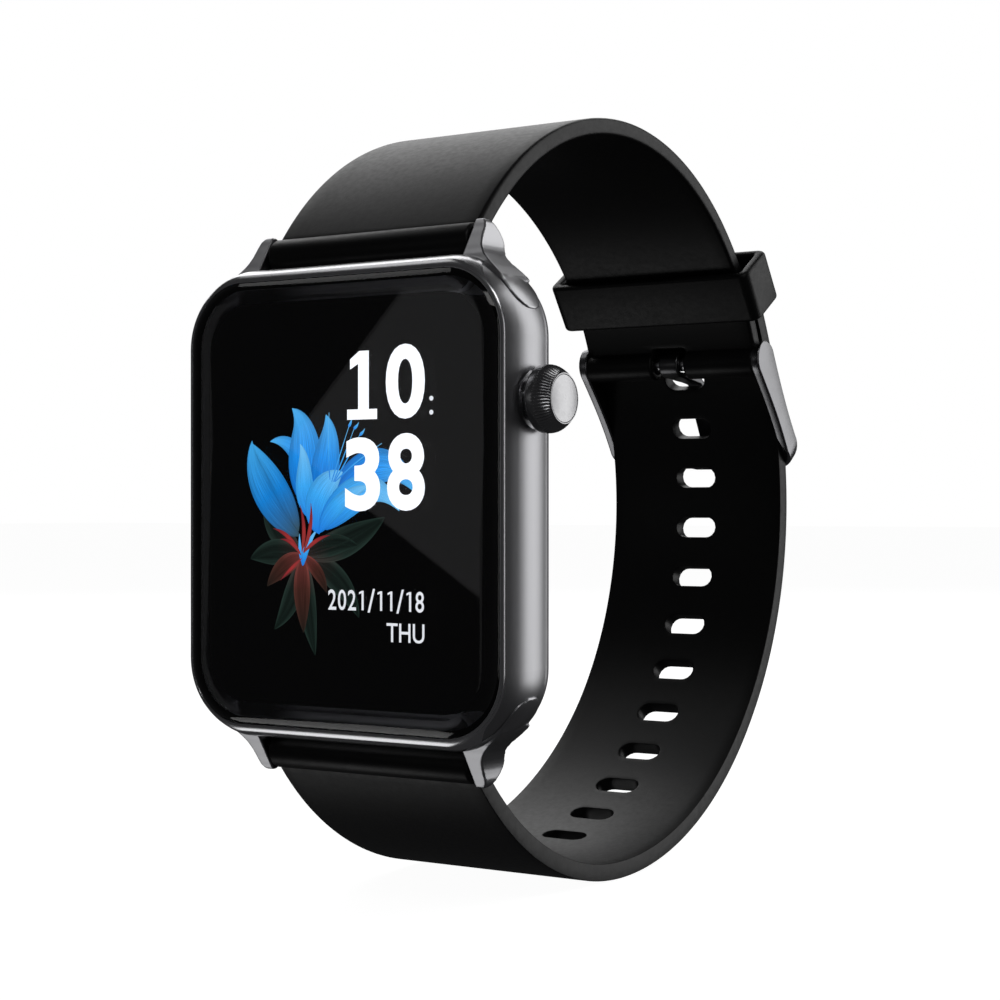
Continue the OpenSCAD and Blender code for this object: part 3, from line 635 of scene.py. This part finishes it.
def tongue():
    """The prong: a strip curled round the bar that narrows towards its tip."""
    y, z = buckle_y, BUCKLE_Z
    curl_r = 1.13
    tip = high("buckle_tongue")[1]
    line = []                                    # y, z, half width and half thickness
    for k in range(15):
        a = math.radians(-5 + 275 * k / 14)
        line.append((y + curl_r * math.cos(a), z + curl_r * math.sin(a), 1.25, 0.31))
    line += [(y + 1.0, z - 1.17, 1.15, 0.36), (y + 2.2, z - 1.3, 1.05, 0.4),
             (y + 3.6, z - 1.42, 1.0, 0.4), (y + 5.0, z - 1.62, 1.0, 0.4),
             (y + 5.8, z - 2.1, 1.0, 0.4), (y + 6.4, z - 3.2, 1.0, 0.38),
             (y + 7.3, z - 6.0, 1.0, 0.36), (tip - 0.6, z - 8.6, 1.0, 0.34),
             (tip - 0.42, z - 10.2, 0.95, 0.32), (tip - 0.36, z - 11.6, 0.8, 0.28),
             (tip - 0.36, z - 12.0, 0.5, 0.18)]
    rings = []
    for i, (py, pz, hx, ht) in enumerate(line):
        a, b = line[max(i - 1, 0)], line[min(i + 1, len(line) - 1)]
        t = Vector((0, b[0] - a[0], b[1] - a[1])).normalized()
        rings.append(ring_at((0, py, pz), (1, 0, 0), (0, -t.z, t.y), hx, ht, 0.26, 5))
    verts, faces = loft(rings)
    obj = finish_mesh("buckle_prong", verts, faces, MATERIALS["prong"],
                      "tongue", angle=50)
    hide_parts("buckle_tongue")


buckle()
tongue()


# ---------------------------------------------------------------- screen

PANEL = low("display_panel")[1]                # y of the panel's face
PICTURE_SCALE = 0.988
NUMERAL_Y = PANEL - 0.06


def glow(name, nodes_for, strength):
    """Emissive paint whose colour comes from the petal's own along and across values."""
    m = bpy.data.materials.new(name)
    m.use_nodes = True
    nt = m.node_tree
    p = nt.nodes["Principled BSDF"]
    p.inputs["Base Color"].default_value = (0, 0, 0, 1)
    p.inputs["Roughness"].default_value = 0.6
    p.inputs["Specular IOR Level"].default_value = 0.0
    p.inputs["Emission Strength"].default_value = strength
    nt.links.new(nodes_for(nt), p.inputs["Emission Color"])
    return m


def even(color):
    """Screen light of one colour, with a barely visible unevenness."""
    def build(nt):
        return two_tone(nt, noise(nt, 400.0, 2.0), tuple(c * 0.96 for c in color), color)
    return build


def petal_paint(base, mid, tip, vein, side=0.7):
    """Base to tip colours, another shade at the sides, and fine lines along the petal."""
    def build(nt):
        attribute = nt.nodes.new("ShaderNodeAttribute")
        attribute.attribute_name = "petal"
        split = nt.nodes.new("ShaderNodeSeparateXYZ")
        nt.links.new(attribute.outputs["Vector"], split.inputs["Vector"])
        ramp = nt.nodes.new("ShaderNodeValToRGB")
        e = ramp.color_ramp.elements
        e[0].position, e[0].color = 0.0, (*base, 1)
        e[1].position, e[1].color = 1.0, (*tip, 1)
        m = e.new(0.45)
        m.color = (*mid, 1)
        nt.links.new(split.outputs["X"], ramp.inputs["Fac"])
        stretch = nt.nodes.new("ShaderNodeMapping")
        stretch.inputs["Scale"].default_value = (1.2, 9.0, 1.0)
        nt.links.new(attribute.outputs["Vector"], stretch.inputs["Vector"])
        lines = nt.nodes.new("ShaderNodeTexNoise")
        lines.inputs["Scale"].default_value = 2.0
        lines.inputs["Detail"].default_value = 3.0
        nt.links.new(stretch.outputs["Vector"], lines.inputs["Vector"])
        veined = remap(nt, lines.outputs["Fac"], 1.0 - vein, 1.0)
        edge = nt.nodes.new("ShaderNodeMath")
        edge.operation = "ABSOLUTE"
        nt.links.new(split.outputs["Y"], edge.inputs[0])
        shade = remap(nt, edge.outputs[0], 1.0, side, 0.45, 1.0)
        both = nt.nodes.new("ShaderNodeMath")
        both.operation = "MULTIPLY"
        nt.links.new(veined, both.inputs[0])
        nt.links.new(shade, both.inputs[1])
        scale = nt.nodes.new("ShaderNodeVectorMath")
        scale.operation = "SCALE"
        nt.links.new(ramp.outputs["Color"], scale.inputs[0])
        nt.links.new(both.outputs[0], scale.inputs["Scale"])
        return scale.outputs["Vector"]
    return build


PAINT = {
    "screen_white": glow("screen_white", even((0.96, 0.98, 1.0)), 1.3),
    "screen_text": glow("screen_text", even((0.88, 0.9, 0.93)), 1.0),
    "screen_blue": glow("screen_blue", petal_paint((0.006, 0.13, 0.62), (0.015, 0.32, 0.95),
                                                   (0.10, 0.52, 1.0), 0.42), 1.15),
    "screen_pale": glow("screen_pale", petal_paint((0.012, 0.22, 0.8), (0.05, 0.44, 1.0),
                                                   (0.20, 0.62, 1.0), 0.35, 0.8), 1.15),
    "screen_bud": glow("screen_bud", petal_paint((0.05, 0.10, 0.12), (0.010, 0.27, 0.80),
                                                 (0.07, 0.50, 1.0), 0.5, 0.75), 1.1),
    "screen_leaf": glow("screen_leaf", petal_paint((0.03, 0.02, 0.018), (0.008, 0.015, 0.012),
                                                   (0.006, 0.013, 0.010), 0.6, 3.2), 1.0),
    "screen_rust": glow("screen_rust", petal_paint((0.20, 0.045, 0.04), (0.07, 0.022, 0.016),
                                                   (0.02, 0.014, 0.010), 0.6, 1.8), 1.0),
    "screen_red": glow("screen_red", petal_paint((0.32, 0.05, 0.05), (0.45, 0.04, 0.04),
                                                 (0.20, 0.02, 0.03), 0.4), 1.0),
}


def curve_point(points, t):
    """A smooth line through three or four control points."""
    p = [Vector(q) for q in points]
    while len(p) > 1:
        p = [a.lerp(b, t) for a, b in zip(p, p[1:])]
    return p[0]


def on_screen(name, mesh, paint):
    """Hangs a flat mesh of the picture on the case, in one of the screen's paints."""
    mesh.materials.clear()
    mesh.materials.append(PAINT[paint])
    obj = bpy.data.objects.new(name, mesh)
    scene.collection.objects.link(obj)
    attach(obj, "case")
    return obj


def petal(points, width, fullness=0.5, twist=0.0):
    """A flat petal in the screen's plane along a smooth line; returns verts, faces, values."""
    rows, cols = 22, 9
    verts, values, faces = [], [], []
    for i in range(rows):
        t = i / (rows - 1)
        a, b = curve_point(points, max(t - 0.02, 0)), curve_point(points, min(t + 0.02, 1))
        along = (b - a).normalized()
        side = Vector((-along.y, along.x))
        c = curve_point(points, t)
        w = width / 2 * (math.sin(math.pi * t ** fullness)) ** 0.8 if 0 < t < 1 else 0.0
        w = max(w, 0.03)
        for j in range(cols):
            v = j / (cols - 1) * 2 - 1
            q = c + side * (w * (v + twist * (1 - v * v)))
            verts.append((q.x, q.y))
            values.append((t, v))
    for i in range(rows - 1):
        for j in range(cols - 1):
            k = i * cols + j
            faces.append((k, k + 1, k + cols + 1, k + cols))
    return verts, faces, values


def screen_piece(name, paint, shapes, layer):
    """Flat shapes of the picture, in a thin layer of their own between panel and glass."""
    depth = PANEL - 0.012 - 0.006 * layer
    verts, faces, values = [], [], []
    for n, (v, f, a) in enumerate(shapes):
        base = len(verts)
        y = depth - 0.0012 * (n % 5)
        verts += [(p[0] * PICTURE_SCALE, y, p[1] * PICTURE_SCALE) for p in v]
        faces += [tuple(i + base for i in face) for face in f]
        values += a
    mesh = bpy.data.meshes.new(name)
    mesh.from_pydata([tuple(c * MM for c in v) for v in verts], [], faces)
    attribute = mesh.attributes.new("petal", "FLOAT_VECTOR", "POINT")
    for i, (t, v) in enumerate(values):
        attribute.data[i].vector = (t, v, 0)
    obj = on_screen(name, mesh, paint)
    solid = obj.modifiers.new("thin", "SOLIDIFY")
    solid.thickness = 0.0008 * MM
    apply_modifiers(obj)


def one(name, x0, x1, z0, z1, stem, flag, foot=0.0, paint="screen_white"):
    """The numeral 1 with a flag and, when large, a foot."""
    middle = (x0 + x1 + flag * 0.35) / 2
    left, right = middle - stem / 2, middle + stem / 2
    base = [(right, z0 + foot), (x1, z0 + foot), (x1, z0), (x0, z0), (x0, z0 + foot),
            (left, z0 + foot)] if foot else [(right, z0), (left, z0)]
    shape = [(right, z1)] + base + [
        (left, z1 - stem * 0.95), (left - flag, z1 - stem * 1.35),
        (left - flag, z1 - stem * 0.6), (left + stem * 0.1, z1)]
    n, scale = len(shape), PICTURE_SCALE * MM
    verts = [(x * scale, (NUMERAL_Y + d) * MM, z * scale) for d in (0, -0.002) for x, z in shape]
    walls = [(i, (i + 1) % n, (i + 1) % n + n, i + n) for i in range(n)]
    mesh = bpy.data.meshes.new(name)
    mesh.from_pydata(verts, [], [tuple(range(n)), tuple(reversed(range(n, 2 * n)))] + walls)
    on_screen(name, mesh, paint)


def digits(name, text, x0, x1, z0, z1, weight, paint="screen_white"):
    """Plain characters in the font Blender carries, fitted to a box on the screen."""
    curve = bpy.data.curves.new(name, "FONT")
    curve.body = text
    curve.offset = weight
    curve.extrude = 0.01
    curve.resolution_u = 6
    holder = bpy.data.objects.new(name + "_text", curve)
    scene.collection.objects.link(holder)
    bpy.context.view_layer.update()
    graph = bpy.context.evaluated_depsgraph_get()
    mesh = bpy.data.meshes.new_from_object(holder.evaluated_get(graph))
    bpy.data.objects.remove(holder)
    xs = [v.co.x for v in mesh.vertices]
    ys = [v.co.y for v in mesh.vertices]
    for v in mesh.vertices:
        x = x0 + (x1 - x0) * (v.co.x - min(xs)) / (max(xs) - min(xs))
        z = z0 + (z1 - z0) * (v.co.y - min(ys)) / (max(ys) - min(ys))
        v.co = Vector((x * PICTURE_SCALE, NUMERAL_Y - v.co.z * 0.2, z * PICTURE_SCALE)) * MM
    on_screen(name, mesh, paint)


one("screen_hour_tens", 0.85, 4.35, 7.75, 14.1, 1.25, 0.95, 0.95)
digits("screen_hour_units", "0", 5.35, 9.8, 7.7, 14.55, 0.03)
digits("screen_minute_tens", "3", 0.6, 4.7, -0.75, 6.1, 0.035)
digits("screen_minute_units", "8", 5.5, 9.8, -0.7, 6.4, 0.03)
digits("screen_colon", ":", 10.3, 10.75, 8.0, 9.7, 0.0, "screen_text")
at = -1.45
for k, letter in enumerate("2021/11/18"):
    pitch = 0.98 if letter == "/" else 1.17
    if letter == "1":
        one("screen_date_%d" % k, at + 0.18, at + 0.93, -9.9, -8.1, 0.24, 0.30, 0,
            "screen_text")
    elif letter == "/":
        digits("screen_date_%d" % k, letter, at + 0.02, at + 0.88, -10.1, -7.9, 0.004,
               "screen_text")
    else:
        digits("screen_date_%d" % k, letter, at + 0.04, at + 1.0, -9.95, -8.05, 0.008,
               "screen_text")
    at += pitch
digits("screen_day", "THU", 5.45, 9.75, -12.75, -11.0, 0.006, "screen_text")

MIDDLE = (-4.5, -4.9)            # where the leaves meet


def leaf(tip, bend, width, fullness=0.85):
    """A petal shape from the leaves' middle to a tip, bowed sideways by bend."""
    mx, mz = (MIDDLE[0] + tip[0]) / 2 + bend[0], (MIDDLE[1] + tip[1]) / 2 + bend[1]
    return petal([MIDDLE, (mx, mz), tip], width, fullness)


screen_piece("screen_leaves", "screen_leaf", [
    leaf((-8.9, 1.2), (-2.0, -0.9), 2.6), leaf((-11.0, -5.3), (-0.4, 0.9), 2.5),
    leaf((5.2, -1.3), (0.6, -0.9), 2.9), leaf((2.0, -3.9), (0.3, 1.0), 2.1),
    leaf((-8.0, -12.0), (0.9, -0.8), 2.2), leaf((-3.0, -14.3), (-0.6, 0.4), 2.3),
    leaf((2.2, -10.6), (1.6, 1.2), 2.4),
], 0)
screen_piece("screen_veins", "screen_leaf", [
    leaf((-8.3, 0.4), (-1.8, -0.8), 0.12), leaf((-10.4, -5.3), (-0.4, 0.9), 0.12),
    leaf((4.6, -1.6), (0.6, -0.9), 0.12), leaf((1.6, -4.0), (0.3, 1.0), 0.12),
    leaf((-7.6, -11.4), (0.9, -0.8), 0.12), leaf((-3.2, -13.6), (-0.6, 0.4), 0.12),
    leaf((1.8, -9.9), (1.6, 1.2), 0.12),
], 1)
screen_piece("screen_rusty_leaves", "screen_rust", [
    leaf((-8.9, -7.9), (-0.3, 0.7), 1.9), leaf((-4.4, -12.2), (-0.3, 0.2), 2.0),
    leaf((-1.6, -8.4), (0.6, 0.4), 1.3),
], 2)
screen_piece("screen_bud", "screen_bud", [
    petal([(-4.9, -3.1), (-8.4, -0.9), (-11.2, 2.4), (-10.8, 6.0)], 2.7, 0.8, 0.1),
    petal([(-5.0, -2.6), (-6.3, 0.6), (-8.6, 3.4), (-10.7, 5.7)], 1.9, 0.8, -0.1),
], 3)
screen_piece("screen_flower_back", "screen_blue", [
    petal([(-3.0, 0.2), (-4.3, 4.6), (-6.2, 6.4), (-8.5, 5.9)], 1.9, 0.7, 0.15),
    petal([(-2.2, -0.6), (-5.6, 3.4), (-3.0, 7.0), (-5.8, 9.0)], 4.3, 0.62, 0.1),
    petal([(-1.8, -0.4), (-2.4, 3.6), (-0.6, 6.0), (-1.7, 8.3)], 3.3, 0.62, -0.1),
    petal([(-1.6, -1.0), (2.6, 4.4), (6.4, 4.6), (8.5, 1.1)], 3.6, 0.72, -0.15),
], 4)
screen_piece("screen_flower_front", "screen_pale", [
    petal([(-2.6, -1.6), (-5.4, 0.6), (-3.6, 3.4), (-4.8, 5.6)], 2.2, 0.7, 0.1),
    petal([(-2.5, -2.9), (-3.4, 0.0), (-1.6, 2.2), (0.3, 2.9)], 3.3, 0.8, 0.1),
    petal([(-2.4, -2.4), (0.4, 0.2), (3.8, 3.4), (6.9, -0.7)], 3.3, 0.75, -0.15),
    petal([(-2.5, -2.8), (-1.2, -0.6), (0.8, 1.0), (3.4, 1.6)], 1.7, 0.8, 0.0),
], 6)
screen_piece("screen_stamens", "screen_pale", [
    petal([(-1.0, 2.0), (0.0, 4.6), (1.2, 7.5)], 0.14),
    petal([(-0.8, 2.0), (0.5, 4.4), (1.8, 7.2)], 0.14),
    petal([(-0.7, 2.0), (1.0, 4.2), (2.5, 6.6)], 0.14),
    petal([(-1.2, 2.2), (-1.5, 5.4), (-1.3, 8.5)], 0.14),
    petal([(-0.6, 2.0), (2.0, 4.0), (4.9, 5.5)], 0.14), petal([(1.0, 7.1), (1.3, 7.4), (1.4, 7.9)], 0.3),
    petal([(1.6, 6.9), (2.0, 7.1), (2.2, 7.5)], 0.3), petal([(2.3, 6.3), (2.7, 6.5), (2.9, 6.9)], 0.3),
], 7)
screen_piece("screen_sepals", "screen_red", [
    petal([(-4.7, -4.9), (-6.2, -2.7), (-8.1, -2.4)], 0.45, 0.8),
    petal([(-4.7, -4.9), (-5.7, -3.4), (-7.2, -3.4)], 0.4, 0.8),
    petal([(-4.6, -4.6), (-4.0, -2.4), (-4.8, -0.2)], 0.45, 0.8),
    petal([(-4.4, -4.6), (-3.2, -2.2), (-3.5, 0.0)], 0.45, 0.8),
    petal([(-4.4, -4.7), (-2.9, -3.2), (-1.2, -3.0)], 0.4, 0.8),
    petal([(-4.6, -5.2), (-6.0, -6.2), (-7.2, -7.3)], 0.35, 0.8),
], 8)
screen_piece("screen_stalk", "screen_pale", [
    petal([(-4.5, -5.9), (-4.4, -4.2), (-2.7, -2.4)], 0.7, 0.7),
    petal([(-4.6, -5.6), (-4.9, -4.2), (-4.9, -2.9)], 0.4, 0.7),
], 5)


# ---------------------------------------------------------------- case edge, lugs, crown

SWELL, BELT = 0.75, 6.6          # how far the side bulges, and how high above the wrist face
FRONT_CURVE, BACK_CURVE = 8.54, 11.0
RIM_R, CORNER = 6.4, (11.9, 14.85)       # the rim's corner radius, and the corners' middles
LUG_SECTIONS = (                 # z, outer x, back height and front height
    (25.82, 12.85, 4.75, 5.2), (25.7, 13.05, 4.5, 5.35), (25.4, 13.3, 4.15, 5.55),
    (25.0, 13.42, 3.75, 5.78), (24.5, 13.48, 3.3, 6.1), (24.0, 13.55, 3.02, 6.4),
    (23.6, 13.65, 2.98, 6.65), (23.2, 13.8, 3.15, 6.9), (22.8, 14.05, 3.45, 7.14),
    (22.4, 14.38, 3.8, 7.4), (22.0, 14.8, 4.05, 7.62), (21.6, 15.25, 4.1, 7.85),
    (21.2, 15.75, 4.0, 8.0), (20.8, 16.2, 3.9, 8.1), (20.3, 16.75, 3.8, 8.2),
    (19.9, 17.05, 3.8, 8.2),
)
LUG_INNER_X = 12
FOOT_AT, FOOT_SPAN, FOOT_H = 52.5, 33.0, 6.0     # the foot's direction, half angle and height
FOOT_FLAT, FOOT_HALF, FOOT_PROUD = 1.9, 2.3, 0.15


def side_swell(h):
    """How far the case's side stands out from the rim's outline at a height h."""
    return SWELL - (h - BELT) ** 2 / (2 * (FRONT_CURVE if h > BELT else BACK_CURVE))


def rim_edge():
    """The polished chamfer round the glass. It runs over into a full shoulder at the top and
    bottom of the case."""
    face_h, chamfer_h, skin_h, shoulder_drop = 10.2, 9.98, 9.9, 3.2
    skin, shoulder, crest_h, crest_half = 0.06, 0.40, 8.7, 1.95
    rings = []
    for q, (sx, sz) in enumerate(((1, 1), (-1, 1), (-1, -1), (1, -1))):
        for k in range(25):
            t = math.radians(90 * (q + k / 24))
            cx, cz = sx * CORNER[0], sz * CORNER[1]
            steep = math.degrees(math.asin(min(abs(math.sin(t)), 1)))
            full = min(max((steep - 45) / 45, 0), 1)
            full = full * full * (3 - 2 * full)          # 0 at the sides, 1 at top and bottom
            low_h = skin_h - shoulder_drop * full
            profile = [(-0.30, chamfer_h), (-0.30, 10.17), (-0.27, face_h), (-0.21, face_h)]
            for i in range(11):
                h = chamfer_h + (low_h - chamfer_h) * i / 10
                fat = max(shoulder * (1 - ((h - crest_h) / crest_half) ** 2), 0) * full
                profile.append((side_swell(h) + skin + fat, h))
            profile += [(side_swell(low_h) - 0.05, low_h - 0.03), (-0.1, min(low_h, skin_h))]
            rings.append([(cx + (RIM_R + o) * math.cos(t), -h, cz + (RIM_R + o) * math.sin(t))
                          for o, h in profile])
    verts, faces = loft(rings, closed=True)
    finish_mesh("rim_chamfer", verts, faces, MATERIALS["rim"], "case", angle=40)


def lug(name, sx, sz):
    """One lug with its foot on the corner: two rough forms melted together and softened."""
    body = loft([[(x, -h, z) for x, h in ((LUG_INNER_X, back), (out, back), (out, front),
                                          (LUG_INNER_X, front))]
                 for z, out, back, front in LUG_SECTIONS])
    strips = []
    for k in range(31):
        t = FOOT_AT + FOOT_SPAN * (k / 15 - 1)
        along = abs(math.radians(t - FOOT_AT)) * (RIM_R + SWELL)
        end = max(along - FOOT_FLAT, 0) / FOOT_HALF
        half = FOOT_HALF * math.sqrt(max(1 - end * end, 0.002))
        ring = []
        for i in range(13):
            h = FOOT_H + half * (i / 6 - 1)
            ring.append((RIM_R + side_swell(h) + FOOT_PROUD, h))
        ring += [(RIM_R - 0.8, FOOT_H + half * 0.98), (RIM_R - 0.8, FOOT_H - half * 0.98)]
        strips.append([(CORNER[0] + r * math.cos(math.radians(t)), -h,
                        CORNER[1] + r * math.sin(math.radians(t))) for r, h in ring])
    verts, faces = join([body, loft(strips)])
    verts = [(sx * x, y, sz * z) for x, y, z in verts]
    obj = finish_mesh("lug_" + name, verts, faces, MATERIALS["lug_metal"], None)
    melt = obj.modifiers.new("melt", "REMESH")
    melt.mode = "VOXEL"
    melt.voxel_size = 0.085 * MM
    soft = obj.modifiers.new("soft", "SMOOTH")
    soft.factor = 0.5
    soft.iterations = 7
    apply_modifiers(obj)
    obj.data.shade_smooth()
    obj.data.materials.clear()
    obj.data.materials.append(MATERIALS["lug_metal"])
    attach(obj, "case")
    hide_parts("lug_" + name)


def crown_knurl():
    """The crown's cap: narrow neck, smooth band, and a bevel milled into fine teeth."""
    base = low("crown_cap")[0]
    y, z = -5.7, 9.2                                 # the crown's axis
    teeth, per_tooth, depth = 60, 8, 0.09
    # each profile runs along (distance from the cap's inner end, radius)
    flat = [(0.0, 2.2), (0.0, 2.5), (0.05, 2.56), (0.2, 2.58), (0.205, 2.9), (0.24, 2.98),
            (0.32, 3.03), (0.42, 3.04), (0.7, 3.05), (0.95, 3.05)]
    bevel = [(1.02, 3.045), (1.12, 3.04), (1.28, 3.01), (1.46, 2.96), (1.64, 2.88),
             (1.84, 2.77), (2.04, 2.63), (2.2, 2.5), (2.34, 2.37), (2.44, 2.28)]
    top = [(2.49, 2.25), (2.5, 2.21), (2.49, 2.17), (2.4, 2.15), (2.1, 2.14), (2.06, 2.0),
           (2.06, 1.0), (0.97, 1.0), (0.97, 2.08)]
    rings = []
    for i in range(teeth * per_tooth):
        t = 2 * math.pi * i / (teeth * per_tooth)
        wave = abs((i % per_tooth) / per_tooth * 2 - 1)      # 1 on a ridge, 0 in a valley
        points = list(flat)
        for k, (px, r) in enumerate(bevel):
            ends = min(1.0, (k + 0.6) / 2, (len(bevel) - 0.4 - k) / 2)
            cut = depth * ends * (1 - wave ** 1.4)
            points.append((px - cut * 0.6, r - cut * 0.8))
        points += top
        rings.append([(base + px, y + r * math.cos(t), z + r * math.sin(t))
                      for px, r in points])
    verts, faces = loft(rings, closed=True)
    obj = finish_mesh("crown_knurl", verts, faces, MATERIALS["crown_metal"],
                      "crown", angle=32)
    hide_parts("crown_cap")


rim_edge()
for label, x_side, z_side in (("upper_right", 1, 1), ("upper_left", -1, 1),
                              ("lower_right", 1, -1), ("lower_left", -1, -1)):
    lug(label, x_side, z_side)
crown_knurl()


# ---------------------------------------------------------------- camera, floor and light

camera = bpy.data.objects.new("camera", bpy.data.cameras.new("camera"))
scene.collection.objects.link(camera)
camera.data.lens = 75.7
camera.data.sensor_width = 36
camera.data.shift_y = 0.009
camera.data.clip_start = 0.001
camera.location = (0.1213, -0.1616, -0.00053)
camera.rotation_euler = Vector((-0.5635, 0.8261, 0)).to_track_quat("-Z", "Y").to_euler()
scene.camera = camera

floor_z = cad_box[0][2] - 0.0001
mesh = bpy.data.meshes.new("floor")
mesh.from_pydata([(-4, -4, floor_z), (4, -4, floor_z), (4, 4, floor_z), (-4, 4, floor_z)], [],
                 [(0, 1, 2, 3)])
floor = bpy.data.objects.new("floor", mesh)
scene.collection.objects.link(floor)
floor_paint, nt, shader = new_material("floor")
shader.inputs["Roughness"].default_value = 0.9
shader.inputs["Specular IOR Level"].default_value = 0.0
nt.links.new(two_tone(nt, noise(nt, 3.0, 2.0), (0.30, 0.30, 0.30), (0.31, 0.31, 0.31)),
             shader.inputs["Base Color"])
shader.inputs["Emission Color"].default_value = (1, 1, 1, 1)
shader.inputs["Emission Strength"].default_value = 0.97
floor.data.materials.append(floor_paint)
floor.visible_glossy = False
floor.visible_diffuse = False
floor.visible_transmission = False
floor.visible_shadow = False


def softbox(name, azimuth, elevation, distance, width, height, radiance, aim=(0, 0.012, 0),
            roll=0):
    """An area light by its direction from the watch in degrees, and how bright it looks."""
    a, e = math.radians(azimuth), math.radians(elevation)
    toward = Vector((math.cos(a) * math.cos(e), math.sin(a) * math.cos(e), math.sin(e)))
    light = bpy.data.lights.new(name, "AREA")
    light.shape = "RECTANGLE"
    light.size, light.size_y = width, height
    light.energy = radiance * math.pi * width * height
    obj = bpy.data.objects.new(name, light)
    obj.location = Vector(aim) + toward * distance
    obj.rotation_euler = (-toward).to_track_quat("-Z", "Y").to_euler()
    obj.rotation_euler.rotate_axis("Z", math.radians(roll))
    obj.visible_camera = False
    scene.collection.objects.link(obj)


softbox("light_right_back", 53, 17, 0.55, 0.33, 0.76, 1.5)
softbox("light_top_back", 130, 38, 0.60, 0.60, 0.40, 1.45)
softbox("light_front", -36, 6, 0.55, 0.10, 0.35, 0.7)
softbox("light_under", -156, -52, 0.50, 0.22, 0.18, 1.0)
softbox("light_over", -168, 56, 0.50, 0.22, 0.14, 0.6)
softbox("light_crown", -48, 46, 0.45, 0.16, 0.14, 2.2, aim=(0.02, -0.006, 0.009))
softbox("light_window", -115, 4, 0.56, 0.20, 0.20, 0.14, roll=-38)

world = bpy.data.worlds.new("studio")
scene.world = world
world.use_nodes = True
nt = world.node_tree
background = nt.nodes["Background"]
background.inputs["Color"].default_value = (0.025, 0.025, 0.026, 1)
background.inputs["Strength"].default_value = 1.0
white = nt.nodes.new("ShaderNodeBackground")
white.inputs["Color"].default_value = (1, 1, 1, 1)
white.inputs["Strength"].default_value = 1.0
rays = nt.nodes.new("ShaderNodeLightPath")
mix = nt.nodes.new("ShaderNodeMixShader")
nt.links.new(rays.outputs["Is Camera Ray"], mix.inputs["Fac"])
nt.links.new(background.outputs[0], mix.inputs[1])
nt.links.new(white.outputs[0], mix.inputs[2])
nt.links.new(mix.outputs[0], nt.nodes["World Output"].inputs["Surface"])
scene.view_settings.view_transform = "Standard"
